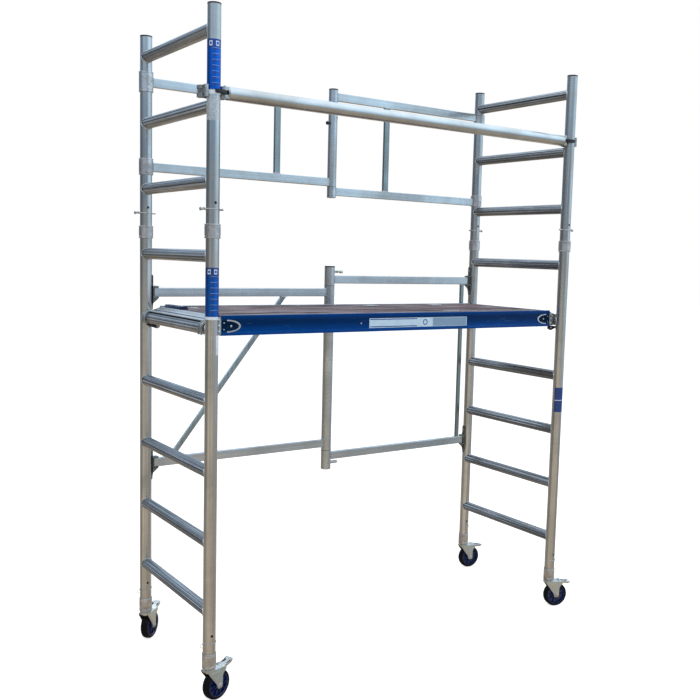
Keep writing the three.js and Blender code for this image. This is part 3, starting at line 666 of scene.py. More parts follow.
def end_frames():
    """The lower and upper ladder frame of each side, with the holes that their pins need."""
    lower_rungs = 6
    for side in SIDES:
        stem = [(FRONT, STEM_HOLE_Z, 5.2), (BACK, STEM_HOLE_Z, 5.2)]
        pins = [(angle, LOCK_HOLE_Z, 5.2) for angle in (INNER, OUTER)]
        spare = [(angle, COUPLING_HOLE_Z, 5.4) for angle in (FRONT, BACK)]
        ladder(f"{side}_lower_frame", side, FIRST_RUNG_Z, lower_rungs, stem)
        first_upper = FIRST_RUNG_Z + lower_rungs * RUNG_PITCH
        ladder(f"{side}_upper_frame", side, first_upper, 3, pins + spare)
        rings = Shape()
        for y in UPRIGHT_Y.values():
            ferrule(rings, UPRIGHT_X[side], y, span(f"{side}_upper_frame")[1].z, TUBE_R)
        make(f"tube_ends_{side}", rings, [BLACK_PLASTIC])


# ---------- couplings ----------
def spigots():
    """The sleeve round each joint of the uprights, with the spigot inside the tubes."""
    for corner in CORNERS:
        x, y = upright(corner)
        node = f"spigot_{corner}"
        low, high = span(node)
        joint_z = low.z + 90
        spigot_top = high.z - joint_z
        sleeve, half, bore = SLEEVE_R, 27.0, TUBE_R + 0.3
        shape = Shape().inside(move(x, y, joint_z))
        shape.turn([(bore, -half), (sleeve - 0.8, -half), (sleeve, -half + 0.8), (sleeve, -half + 5),
                    (sleeve - 1.6, -half + 6), (sleeve - 1.6, -half + 9), (sleeve - 0.3, -half + 10.4),
                    (sleeve - 0.3, half - 8), (sleeve - 1.5, half - 7), (sleeve - 1.5, half - 5.4),
                    (sleeve, half - 4.4), (sleeve, half - 0.8), (sleeve - 0.8, half), (bore, half)], 64)
        spigot = [(19, -90), (22, -90), (23, -87), (23, 104), (21.6, spigot_top), (19, spigot_top)]
        shape.turn(spigot, finish=1)
        make(f"coupling_{corner}", shape, [SLEEVE_METAL, BORE_METAL], stands_for=[node])


def lock_pins():
    """Pin through each coupling, with a spring wire that snaps round the upright."""
    for corner, (side, _) in CORNERS.items():
        x, y = upright(corner)
        node = f"lock_pin_{corner}"
        shape = Shape().inside(move(x, y, LOCK_HOLE_Z) @ (Matrix() if side == "right" else MIRROR))
        pin = shape.inside(aim((0, 0, 0), (1, 0, 0)))
        pin.turn([(0, -43), (2.6, -43), (4, -40.5), (4, 27), (4, 46.6), (6.4, 46.6), (7, 47.4), (7, 50.6),
                  (6.2, 51.6), (0, 51.6)], 24)
        hook = [(33 - 6 * math.cos(t), 0, 6 * math.sin(t)) for t in (0.0, 0.8, 1.6, 2.4, 3.1)]
        bail = [(TUBE_R + 2.2, 2.2)] + arc(TUBE_R + 2.0, 0, -196, steps=28)
        wire = [(36, -4, 0), (33, -3, 0.4)] + [(u, v, 0.8) for u, v in bail[1:]]
        shape.sweep(wire, 1.3, 8)
        shape.sweep([(p[0] + 6, p[1] - 4.5, p[2]) for p in hook], 1.3, 8)
        make(f"snap_pin_{corner}", shape, [BRIGHT], node, [node])


# ---------- castors ----------
STEPS_FINE = 96


def wheel_parts(shape):
    """Tyre, ribbed hub and bearing caps about the local Z; the finishes are rubber, navy and bright."""
    radius = middle("castor_wheel_left_near").z
    tread = [(46, -15.6), (52, -15.9), (56.5, -15.2), (59.6, -13), (radius - 0.5, -9.6),
             (radius - 0.05, -5.2), (radius - 1.3, -4.6), (radius - 1.3, -3.4), (radius, -2.8)]
    shape.turn(tread + [(r, -z) for r, z in reversed(tread)], STEPS_FINE, 0)
    for side in (-1, 1):
        ridge = [(54.4, side * 15.2), (54.9, side * 16.2), (56.3, side * 15.9), (56.6, side * 14.6)]
        shape.turn(ridge, STEPS_FINE, 0)
        rim = [(47.8, 10), (47.8, 16.6), (45.4, 16.8), (43.6, 14), (42.6, 8)]
        shape.turn([(r, side * z) for r, z in rim], STEPS_FINE, 1)
        boss = [(6.4, 5), (19, 5), (16.6, 12), (15.4, 18.2), (14, 19), (6.4, 19)]
        shape.turn([(r, side * z) for r, z in boss], 48, 1)
        cap = [(6.2, side * 18.2), (12.6, side * 18.2), (12.2, side * 19.6), (6.2, side * 19.9)]
        shape.turn(cap, 40, 2)
        for rib in range(10):
            fin = [(15, -1.3), (44, -0.9), (44, 0.9), (15, 1.3)]
            shape.inside(spin(36 * rib)).plate(fin, side * 3, side * 13.4, "Z", 1)
    shape.turn([(6.3, -4), (46.5, -6.5), (46.5, 6.5), (6.3, 4)], STEPS_FINE, 1)


def fork_parts(shape):
    """Pressed fork, swivel race, stem, axle and its nuts; the swivel axis is the local Z."""
    trail, crown_low, crown_high, cheek_in, cheek_out = 38, 128.2, 134, 20.7, 24.5
    axle_z = middle("castor_wheel_left_near").z
    cheek = rounded([(-22, crown_high - 0.6, 3), (-18, crown_low - 6, 9), (trail - 15, axle_z + 6, 14),
                     (trail - 13, axle_z - 9, 10), (trail, axle_z - 13, 12), (trail + 13, axle_z - 9, 10),
                     (trail + 13, axle_z + 4, 14), (53, 106, 22), (72, 121, 6), (72, crown_high - 0.6, 3)], 6)
    emboss = rounded([(-12, 124), (trail - 6, axle_z + 6), (trail + 5, axle_z + 6), (46, 122)], 8)
    for side in (-1, 1):
        low, high = sorted((side * cheek_in, side * cheek_out))
        shape.plate(cheek, low, high, "Y")
        face = sorted((side * (cheek_out - 0.5), side * (cheek_out + 1.1)))
        shape.plate(emboss, *face, "Y")
    crown = rounded([(-24, -20, 14), (50, -24.5, 6), (50, 24.5, 6), (-24, 20, 14)], 12, 6)
    shape.plate(crown, crown_low, crown_high, "Z", 1)
    shape.turn([(0, 133), (25, 133), (26, 134.4), (26, 136), (23.4, 137), (23.4, 138), (25.4, 138.8),
                (25.4, 140.2), (24, 141), (0, 141)], 48)
    shape.turn([(0, 121), (15, 121), (16, 122.5), (16, 128.4), (0, 128.4)], 32)
    shape.turn([(0, 140), (6.1, 140), (6.1, 238), (5, 240), (0, 240)], 24)
    axle = shape.inside(aim((trail, 0, axle_z), (0, 1, 0)))
    axle.turn([(0, -26), (5.7, -26), (5.7, 26), (0, 26)], 24)
    shape.bolt((trail, 24.4, axle_z), (0, 1, 0), 15, 4.2, 1)
    shape.bolt((trail, -24.4, axle_z), (0, -1, 0), 15, 3.4, 1)
    shape.turn([(0, 119.6), (8.6, 119.6), (8.6, 121.4), (0, 121.4)], 6, 1)


def pedal_parts(shape):
    """Stamped brake pedal drawn level, with its pivot at the origin: tray, side flanges, treads."""
    tray = [(-4.5, 2.5), (-4, -2), (6, 0.6), (38, -3.4), (50.6, 3.4), (48.8, 6), (37, -0.6), (8, 3.6), (2, 5)]
    shape.plate(rounded(tray, 1.2, 3), -18.4, 18.4, "Y")
    flange = rounded([(-5, 3), (-3, -4.5), (8, -4), (37, -5.6), (47, 0), (45, 5.5), (30, 2.6), (10, 7),
                      (0, 6.4)], 3)
    for side in (-1, 1):
        low, high = sorted((side * 16.8, side * 18.9))
        shape.plate(flange, low, high, "Y")
    for tread in range(5):
        x = 12 + 5.2 * tread
        shape.inside(move(x, 0, 1.9 - 0.13 * (x - 8)) @ spin(90, "X")).plate(
            rounded(rectangle((-1.1, -1), (1.1, 2.2)), 0.8, 2), -11, 11, "Z")
    for side in (-1, 1):
        slot = rounded([(-13, -3.2), (10, -3.2), (10, 3.2), (-13, 3.2)], 2.8, 3)
        shape.inside(move(27, side * 12.6, 1.2)).plate(slot, -0.6, 1.2, "Z", 1)
    rod = shape.inside(aim((0, 0, 0), (0, 1, 0)))
    rod.turn([(0, -25), (2.4, -25), (3, -24.4), (3, 24.4), (2.4, 25), (0, 25)], 20)


def sockets(corner, x, y):
    """The castor's socket with the plug up in the upright, a clamp seam and a snap button."""
    node = f"castor_socket_{corner}"
    low, _ = span(node)
    skirt, lip_z = 28.0, 205.0
    shape = Shape().inside(move(x, y))
    shape.turn([(6.8, low.z), (24, low.z), (27.4, low.z + 1.2), (skirt, low.z + 3), (skirt, low.z + 12),
                (27.3, low.z + 13), (27.3, low.z + 15), (skirt, low.z + 16), (skirt, lip_z - 9),
                (27, lip_z - 8), (27, lip_z - 6.5), (skirt, lip_z - 5.5), (skirt, lip_z - 1.4), (27, lip_z),
                (23, lip_z), (23, 262), (20, 266), (6.8, 266)], 64)
    make(f"castor_plug_{corner}", shape, [PALE_PLASTIC], stands_for=[node])


def stem_clips(corner, x, y):
    """The pin that holds each castor in its upright, with its spring ring."""
    clip_z = 246.0
    side = SIDES[CORNERS[corner][0]]
    shape = Shape().inside(move(x, y, clip_z))
    pin = shape.inside(aim((0, 0, 0), (1, 0, 0)))
    pin.turn([(0, -29), (3.4, -29), (4.2, -28), (4.2, -25), (3, -25), (3, 25), (4.2, 25), (4.2, 28),
              (3.4, 29), (0, 29)], 20)
    shape.ring((side * 30, 0, -8), (0.25, 1, 0.1), 8.2, 1.1)
    shape.sweep([(u, v, 3.0) for u, v in arc(TUBE_R + 1.0, 0, -180, steps=24)], 0.9, 6)
    make(f"castor_clip_{corner}", shape, [BRIGHT])


PEDAL_TILT = {"left": -22, "right": 4}


def castors():
    """One castor under each upright, turned as its wheel's axis says."""
    for corner, (side, _) in CORNERS.items():
        x, y = upright(corner)
        axis = JOINTS[f"wheel_spin_{corner}"]["axis"]
        heading = math.degrees(math.atan2(-axis[0], axis[1]))
        stand = move(x, y) @ spin(heading)
        sockets(corner, x, y)
        stem_clips(corner, x, y)
        fork, wheel, pedal = (f"castor_fork_{corner}", f"castor_wheel_{corner}", f"brake_pedal_{corner}")
        shape = Shape().inside(stand)
        fork_parts(shape)
        make(f"fork_{corner}", shape, [ZINC, BRIGHT], fork, [fork], edge=0.8)
        shape = Shape()
        hub = pivot(f"wheel_spin_{corner}")
        wheel_parts(shape.inside(aim(hub, axis)))
        make(f"wheel_{corner}", shape, [BLACK_RUBBER, NAVY_PLASTIC, BRIGHT], wheel, [wheel])
        shape = Shape().inside(move(*pivot(f"brake_{corner}")) @ spin(heading) @ spin(PEDAL_TILT[side], "Y"))
        pedal_parts(shape)
        make(f"pedal_{corner}", shape, [BRIGHT, BLACK_PLASTIC], pedal, [pedal], edge=0.5)


# ---------- platform ----------
def side_rails():
    """Blue channels with rolled edges, a bare edging strip on top and a socket plate at each end."""
    for depth, sign in DEPTHS.items():
        node = f"deck_rail_{depth}"
        low, high = span(node)
        outer_y = max(abs(low.y), abs(high.y))
        section = rounded([(24, 0, 1), (1, 0, 3), (0, 2, 2), (0, 9, 3), (3.4, 14, 4), (3.4, 58, 5),
                           (0, 64, 3), (0, 77.5, 3), (2.5, 80, 3), (8, 80, 1), (8, 77.2, 1), (5.8, 76, 1),
                           (5.8, 67, 1), (28, 67, 1), (28, 64.4, 1), (5.8, 64.4, 1), (5.8, 3, 1),
                           (24, 3, 1)], 1, 3)
        shape = Shape()
        shape.plate([(sign * (outer_y - u), low.z + v) for u, v in section], low.x, high.x, "X")
        make(f"blue_rail_{depth}", shape, [BLUE], stands_for=[node], edge=0.25)
        strip = rounded([(8.2, 80), (14.2, 80), (14.2, 77), (12, 76.8), (12, 68), (10.4, 68), (10.4, 77),
                         (8.2, 77)], 0.6, 2)
        shape = Shape()
        shape.plate([(sign * (outer_y - u), low.z + v) for u, v in strip], low.x + 1, high.x - 1, "X")
        make(f"edging_{depth}", shape, [BARE_EDGE])
        for side, way in SIDES.items():
            rail_socket(side, way, depth, sign, outer_y, low.z + 37, high.x)


def bow(foot, length, height, steps=20):
    """Half an ellipse that points away from the rail's end, from its top to its bottom."""
    turns = [math.pi * i / steps for i in range(steps + 1)]
    return [(foot - length * math.sin(t), height * math.cos(t)) for t in turns]


def rail_socket(side, way, depth, sign, outer_y, z, end_x):
    """A dark recess at one end of a side rail, with a bright crescent round its tip and rivets."""
    recess = [(-3, 22)] + bow(-24, 57, 22) + [(-3, -22)]
    crescent = bow(-24, 60, 25.5) + bow(-24, 51, 20)[::-1]
    inner, rim = [[(way * (end_x + u), z + v) for u, v in outline] for outline in (recess, crescent)]
    shape = Shape()
    shape.plate(rim, *sorted((sign * (outer_y - 3.8), sign * (outer_y - 0.3))), "Y")
    make(f"rail_socket_{side}_{depth}", shape, [BRIGHT], edge=0.9)
    shape = Shape()
    shape.plate(inner, *sorted((sign * (outer_y - 3.7), sign * (outer_y - 2.7))), "Y", 0)
    for u, v, radius in ((-12, -13, 3), (-12, 13, 3), (-42, 0, 5)):
        shape.rivet((way * (end_x + u), sign * (outer_y - 2.8), z + v), (0, sign, 0), radius, 1)
    make(f"rail_recess_{side}_{depth}", shape, [DARK_BLUE, BRIGHT])


def rail_sticker():
    """A blank strip on the front rail: silver film with two lines, a ring and a grey end panel."""
    low, _ = span("deck_rail_near")
    y, z = low.y + 3.4, low.z
    middle_z, start, end, panel_start, ring_x, rivet_x = z + 36, -200, 352, 150, 106, -243
    shape = Shape()
    shape.block((start, y - 0.5, middle_z - 21), (end, y + 0.2, middle_z + 21), 0)
    for line in (z + 50, z + 18):
        shape.block((start + 4, y - 0.7, line), (60, y - 0.3, line + 4), 1)
    shape.block((panel_start, y - 0.7, middle_z - 19), (end - 4, y - 0.3, middle_z + 19), 2)
    ring = shape.inside(aim((ring_x, y - 0.45, middle_z), (0, -1, 0)))
    ring.pipe(circle(13, 40), circle(9, 40), -0.1, 0.35, finish=1)
    make("rail_strip", shape, [LABEL_SILVER, LABEL_NAVY, LABEL_GREY])
    shape = Shape()
    shape.rivet((rivet_x, y, middle_z), (0, -1, 0), 4)
    make("rail_rivet", shape, [BRIGHT])


def deck_panels():
    """The plywood round the hatch, the hatch, and the small parts on both."""
    low, high = span("deck_panel")
    hatch_low, hatch_high = span("hatch")
    gap, corner_r = 2, 14
    opening = rectangle((hatch_low.x - gap, hatch_low.y - gap), (hatch_high.x + gap, hatch_high.y + gap))
    shape = Shape()
    shape.pipe(rounded(rectangle(low[:2], high[:2]), 4), rounded(opening, corner_r), low.z, high.z, "Z")
    make("ply_panel", shape, [PLY], stands_for=["deck_panel"], edge=0.7)
    shape = Shape()
    outline = rounded(rectangle(hatch_low[:2], hatch_high[:2]), corner_r - 1)
    shape.plate(outline, hatch_low.z, hatch_high.z, "Z")
    make("ply_hatch", shape, [PLY], "hatch", ["hatch"], edge=0.7)
    top = hatch_high.z
    hatch_grip(hatch_low, top)
    hatch_hinges(hatch_low, hatch_high, top)
    ring_pull(-800, 169, top)
    panel_screws(low, high, top)
    end_block(top)


def hatch_grip(low, top):
    """A bright rim let into the hatch, with a black finger cup in it and a rivet at each end."""
    grip = Shape().inside(move(low.x + 300, low.y + 42, top))
    rim, mouth = rounded(rectangle((-46, -17), (46, 17)), 16), rounded(rectangle((-36, -9), (36, 9)), 8)
    grip.pipe(rim, mouth, -4, 1.3)
    grip.plate(rounded(rectangle((-37, -10), (37, 10)), 9), -4.5, 0.3, "Z", 1)
    for x in (-41, 41):
        grip.rivet((x, 0, 1.2), (0, 0, 1), 2.6)
    make("hatch_grip", grip, [BRIGHT, BLACK_PLASTIC], "hatch", edge=0.4)


def hatch_hinges(low, high, top):
    """Two butt hinges along the far edge; one leaf and its knuckles ride with the hatch."""
    axis_y, axis_z = pivot("hatch_lift").y, pivot("hatch_lift").z
    barrel_r, pitch, gap = 1.9, 15.3, 0.5
    fixed, moving = Shape(), Shape()
    for x in (low.x + 110, high.x - 110):
        for shape, way in ((fixed, 1), (moving, -1)):
            leaf = rectangle((x - 38, way * (barrel_r + 0.7)), (x + 38, way * 30))
            shape.inside(move(0, axis_y, top)).plate(rounded(leaf, 5), 0.05, 1.5, "Z")
            for k in (-26, 0, 26):
                shape.rivet((x + k, axis_y + way * 19, top + 1.4), (0, 0, 1), 3.2)
        for k in range(5):
            start = x - 38 + pitch * k
            shape, way = ((fixed, 1), (moving, -1))[k % 2]
            barrel = shape.inside(aim((start, axis_y, axis_z), (1, 0, 0)))
            barrel.turn([(0, 0), (barrel_r, 0), (barrel_r, pitch - gap), (0, pitch - gap)], 20)
            tab_y = sorted((axis_y + way * 0.9, axis_y + way * (barrel_r + 1)))
            shape.block((start, tab_y[0], top + 0.1), (start + pitch - gap, tab_y[1], top + 1.4))
    make("hatch_hinge_fixed", fixed, [BRIGHT], edge=0.3)
    make("hatch_hinge_moving", moving, [BRIGHT], "hatch", edge=0.3)


def panel_screws(low, high, top):
    """A row of screws along each long edge of the panel."""
    count, inset = 9, 50
    shape = Shape()
    for sign in DEPTHS.values():
        for k in range(count):
            x = low.x + inset + k * (high.x - low.x - 2 * inset) / (count - 1)
            shape.rivet((x, sign * (abs(high.y) - 12), top - 0.2), (0, 0, 1), 3.6)
    make("panel_screws", shape, [BRIGHT])


def ring_pull(x, y, top):
    """A pull ring lying in its round cup."""
    shape = Shape()
    cup = shape.inside(move(x, y, top))
    cup.turn([(0, -3), (17, -3), (19, 0), (25, 0.2), (25, 1.1), (23, 1.6), (18.4, 1.4), (16, -1.6),
              (0, -1.8)], 48)
    cup.ring((0, 0, 2.2), (0.06, 0.05, 1), 14.5, 2.0)
    make("ring_pull", shape, [BRIGHT])


def end_block(top):
    """A navy block over the panel's left end."""
    start, end, near, far, foot, crest = -902, -862, 86, 252, top - 2, top + 13
    corners = [(start, foot), (end, foot), (end, crest - 8), (end - 8, crest), (start + 3, crest)]
    shape = Shape()
    shape.plate(rounded(corners, 2.5), near, far, "Y")
    for y in (near + 24, far - 28):
        shape.rivet(((start + end) / 2, y, crest - 0.4), (0, 0, 1), 4, 1)
    make("end_block", shape, [NAVY_PLASTIC, BRIGHT], edge=0.8)


def cross_beams():
    """Box beams that carry the plywood."""
    for side in SIDES:
        node = f"cross_beam_{side}"
        low, high = span(node)
        outer = rounded(rectangle((low.x, low.z), (high.x, high.z)), 3)
        inner = rounded(rectangle((low.x + 2.5, low.z + 2.5), (high.x - 2.5, high.z - 2.5)), 1.5)
        shape = Shape()
        shape.pipe(outer, inner, low.y, high.y, "Y")
        make(f"beam_{side}", shape, [RAIL_METAL], stands_for=[node], edge=0.3)


def end_beams():
    """Rounded end profile that lies over the rung, with rubber strips in it and against the panel."""
    for side, way in SIDES.items():
        node = f"end_beam_{side}"
        low, high = span(node)
        z = DECK_RUNG_Z
        foot = min(abs(low.x), abs(high.x))
        section = [(0, -12, 1.5), (20, -12, 2), (25, -8, 3), (25, 24, 4), (30, 27, 4), (61, 27, 4),
                   (66, 29.5, 3), (63, 34, 4), (40, 37, 4), (22, 37.5, 6), (16, 47, 5), (11, 48.8, 2),
                   (0, 48.8, 1)]
        shape = Shape()
        shape.plate([(way * (foot + u), z + v) for u, v in rounded(section, 2)], low.y, high.y, "Y")
        make(f"end_profile_{side}", shape, [BARE_EDGE], stands_for=[node], edge=0.4)
        strip = rounded([(26, 26.6), (61, 26.6), (60, 24.6), (27, 24.6)], 0.8, 2)
        shape = Shape()
        shape.plate([(way * (foot + u), z + v) for u, v in strip], low.y + 4, high.y - 4, "Y")
        groove = rounded([(41, 36.9), (47, 36.6), (47, 37.6), (41, 37.9)], 0.4, 2)
        shape.plate([(way * (foot + u), z + v) for u, v in groove], low.y + 2, high.y - 2, "Y")
        seal = sorted((way * (foot - 2.6), way * (foot + 3)))
        seal = rounded(rectangle((seal[0], z + 38), (seal[1], z + 50.4)), 1.5, 3)
        shape.plate(seal, low.y + 1, high.y - 1, "Y")
        make(f"end_strip_{side}", shape, [BLACK_PLASTIC])


def hook_outline(way, foot, grow=0.0):
    """Claw open downwards over the rung; x grows away from the middle of the platform."""
    rung_x, inside, outside = UPRIGHT_X["right"], RUNG_R + 0.8, RUNG_R + 9 - grow
    corners = [(foot, -24 + grow), (rung_x - inside - 2, -24 + grow)]
    corners += arc(inside + 0.1, 180, 0, (rung_x, 0), 16)
    corners += [(rung_x + inside + 0.1, -22 + grow), (rung_x + outside - 2, -22 + grow)]
    corners += arc(outside, 0, 112, (rung_x, 0), 14) + [(foot, 46 - grow)]
    return [(way * u, DECK_RUNG_Z + v) for u, v in corners]


def corner_hooks():
    """Cast hooks: a web between two flanges, riveted to the side rail's end."""
    for corner, (side, depth) in CORNERS.items():
        way, sign = SIDES[side], DEPTHS[depth]
        node = f"deck_hook_{corner}"
        low, high = sorted((sign * 284.5, sign * 315))
        foot = span("deck_rail_near")[1].x + 0.3
        shape = Shape()
        shape.plate(hook_outline(way, foot, 3.0), low + 2, high - 2, "Y")
        for start in (low, high - 5):
            shape.plate(hook_outline(way, foot), start, start + 5, "Y")
        face = sign * 315
        for u, v in ((11, 33), (11, 10), (11, -13)):
            shape.rivet((way * (foot + u), face, DECK_RUNG_Z + v), (0, sign, 0), 7.0, 1)
        shape.bolt((way * (foot + 20), face - sign * 0.3, DECK_RUNG_Z + 23), (0, sign, 0), 10, 3.6, 1)
        if f"wind_lock_swing_{corner}" in JOINTS:
            at = pivot(f"wind_lock_swing_{corner}")
            inner = at.y - sign * 9.5
            shape.block((at.x - 8, inner - 2, at.z - 8), (at.x + 8, inner + 2, DECK_RUNG_Z - 20))
            rod = shape.inside(aim((at.x, at.y, at.z), (0, 1, 0)))
            rod.turn([(0, -8), (3, -8), (3, 8), (0, 8)], 20, 1)
        make(f"cast_hook_{corner}", shape, [CAST_METAL, BRIGHT], stands_for=[node],
             edge=1.2)


def wind_locks():
    """Black levers under two of the hooks, which keep them on their rungs."""
    for corner, (side, depth) in CORNERS.items():
        node = f"wind_lock_{corner}"
        if node not in frame["nodes"]:
            continue
        way, low, high = SIDES[side], *span(node)
        at = pivot(f"wind_lock_swing_{corner}")
        lever = rounded([(4, 9.6, 3), (-6, 8.6, 4), (-9, -6, 4), (0, -13.6, 5), (30, -3, 8), (51.5, 6, 1.5),
                         (30, 7.6, 6)], 3)
        shape = Shape()
        shape.plate([(at.x + way * u, at.z + v) for u, v in lever], low.y, high.y, "Y")
        for k in range(4):
            x = at.x + way * (8 + 6 * k)
            shape.block((x - 1, low.y - 0.8, at.z - 4), (x + 1, high.y + 0.8, at.z + 5))
        sign = DEPTHS[depth]
        shape.rivet((at.x, at.y + sign * 5.4, at.z), (0, sign, 0), 5, 1)
        make(f"wind_lever_{corner}", shape, [BLACK_PLASTIC, BRIGHT], node, [node], edge=0.9)


# ---------- guard rail ----------
def guard_rail():
    """The front rail's tube and the claw at each of its ends."""
    low, high = span("guard_rail")
    y, z = (low.y + high.y) / 2, (low.z + high.z) / 2
    radius = (high.z - low.z) / 2
    shape = Shape()
    outer, inner = circle(radius, 72, (y, z)), circle(radius - 2, 72, (y, z))
    shape.pipe(outer, inner, low.x, high.x, "X")
    make("front_guard_tube", shape, [RAIL_METAL], stands_for=["guard_rail"], edge=0.5)
    for side in SIDES:
        rail_claw(side, y, z)


def rail_claw(side, y, z):
    """Cast jaw round the upright with the plug in the tube's end, its bolts and its latch."""
    place = move(UPRIGHT_X[side], y, z) @ (Matrix() if side == "right" else MIRROR)
    grip, outer = TUBE_R + 0.9, 41.0
    jaw = [(-56.4, -19.6), (-38, -19.6), (-grip - 1, -9)] + arc(grip, 180, 0, steps=22)
    jaw += [(grip, -13), (grip + 1.5, -14.5), (outer - 5, -15.6), (outer - 1, -12), (outer, -8)]
    finger = rounded([(outer, 8, 6), (52, 26, 5), (52, 40, 6), (42, 45.8, 5), (14, 38.6, 6)], 5)
    jaw += finger + arc(outer, 74, 130, steps=12) + [(-56.4, 19.6)]
    node = f"rail_claw_{side}"
    shape = Shape().inside(place)
    for low, high in ((-22, -8.2), (8.2, 22)):
        shape.plate(jaw, low, high, "Z")
    cheek = [(-19, 1)] + arc(grip, 176, 0, steps=20) + [(grip, -13), (outer - 5, -15), (outer - 1, -8)]
    cheek += [(outer - 2, 9), (48.6, 27), (48.6, 38), (41, 42.6), (15, 36.8)]
    cheek += arc(outer - 1.5, 74, 130, steps=12) + [(-54, 18), (-54, 5), (-30, 5)]
    shape.plate(cheek, -8.4, 8.4, "Z")
    plug = shape.inside(aim((0, 0, 0), (-1, 0, 0)))
    plug.turn([(0, 52), (25.2, 52), (25.2, 56.2), (22.9, 56.4), (22.9, 96), (20, 100), (0, 100)], 48)
    at = pivot(f"claw_trigger_{side}") - Vector((UPRIGHT_X[side], y, z))
    bolt_x, bolt_y = (at.x if side == "right" else -at.x), at.y
    rib = rounded([(-50, 14), (-20, 32), (20, 34), (34, 16), (30, 14), (16, 29), (-16, 28), (-46, 10)], 2)
    for way in (-1, 1):
        shape.bolt((bolt_x, bolt_y, way * 21.8), (0, 0, way), 9, 3.2, 1)
        shape.bolt((43, 34, way * 21.8), (0, 0, way), 9, 1.6, 1)
        shape.rivet((14, 32, way * 21.8), (0, 0, way), 3.5, 1)
        shape.plate(rib, *sorted((way * 21.8, way * 24)), "Z")
    make(f"claw_jaw_{side}", shape, [CAST_METAL, BRIGHT], stands_for=[node], edge=1.2)
    claw_latch(f"claw_latch_{side}", f"claw_catch_{side}", place)


def claw_latch(node, name, place):
    """The black catch that closes a claw's jaw under the upright, with a raised face on each side."""
    reach = TUBE_R + 1.2
    latch = rounded([(-48, -17, 4), (-42, -26, 8), (-26, -33, 10), (-6, -36, 10), (8, -33, 3),
                     (7, -reach - 1, 3), (-8, -reach - 0.5, 8), (-20, -22, 8), (-30, -11, 6), (-35, -5, 4),
                     (-44, -5, 4)], 4)
    shape = Shape().inside(place)
    shape.plate(latch, -6.5, 6.5, "Z")
    for way in (-1, 1):
        shape.plate(shrunk(latch, 0.8), *sorted((way * 6.3, way * 7.4)), "Z")
    make(name, shape, [BLACK_PLASTIC], node, [node], edge=1.0)


# ---------- rear gates ----------
RAIL_HEIGHT, RAIL_THICK, RAIL_WALL = 40.0, 20.0, 2.0
GATE_Y = UPRIGHT_Y["far"]


def gate_rail(shape, x0, x1, z):
    """A level box rail of a gate."""
    half_y, half_z = RAIL_THICK / 2, RAIL_HEIGHT / 2
    outer = rounded(rectangle((GATE_Y - half_y, z - half_z), (GATE_Y + half_y, z + half_z)), 3)
    inner = rounded(rectangle((GATE_Y - half_y + RAIL_WALL, z - half_z + RAIL_WALL),
                              (GATE_Y + half_y - RAIL_WALL, z + half_z - RAIL_WALL)), 1.5)
    shape.pipe(outer, inner, x0, x1, "X")


def rail_weld(welds, post_x, radius, way, z):
    """The bead where a gate rail meets a round post or collar."""
    half_y, half_z = RAIL_THICK / 2 + 0.3, RAIL_HEIGHT / 2 - 2.4
    section = rounded(rectangle((-half_y, -half_z), (half_y, half_z)), 3)
    bead_r = radius + 0.5
    welds.weld([(post_x + way * math.sqrt(bead_r ** 2 - u * u), GATE_Y + u, z + v) for u, v in section], 2.0)


BAR_DEPTH = 16.0


def box_bar(shape, welds, heights, start, end, width):
    """A box bar between two gate rails, along a line whose ends lie inside them, with a bead at each end."""
    start, end = Vector(start), Vector(end)
    along = end - start
    half_x, half_y = width / 2 * along.length / along.y, BAR_DEPTH / 2
    section = rounded(rectangle((-half_x, -half_y), (half_x, half_y)), 2.2)
    bead = rounded(rectangle((-half_x - 0.8, -half_y - 0.8), (half_x + 0.8, half_y + 0.8)), 2.4)
    rings = []
    for z, way in ((heights[0], 1), (heights[1], -1)):
        face = z + way * RAIL_HEIGHT / 2
        x = start.x + along.x * (face - start.y) / along.y
        rings.append([(x + u, GATE_Y + v, face - way * 0.6) for u, v in section])
        welds.weld([(x + u, GATE_Y + v, face + way * 0.6) for u, v in bead], 2.2)
    shape.skin(rings, 3)


def upright_bar(shape, welds, heights, x, width):
    """A box bar that stands straight between two gate rails."""
    box_bar(shape, welds, heights, (x, heights[0]), (x, heights[1]), width)


def post_tube(shape, radius, low, high, bore):
    """A length of a gate's centre post, with rounded rims."""
    lip = 0.8
    wall = [(radius, low + lip), (radius, high - lip), (radius - lip, high), (bore + lip, high),
            (bore, high - lip), (bore, low + lip), (bore + lip, low), (radius - lip, low)]
    shape.inside(move(0, GATE_Y)).turn(wall, TUBE_STEPS)


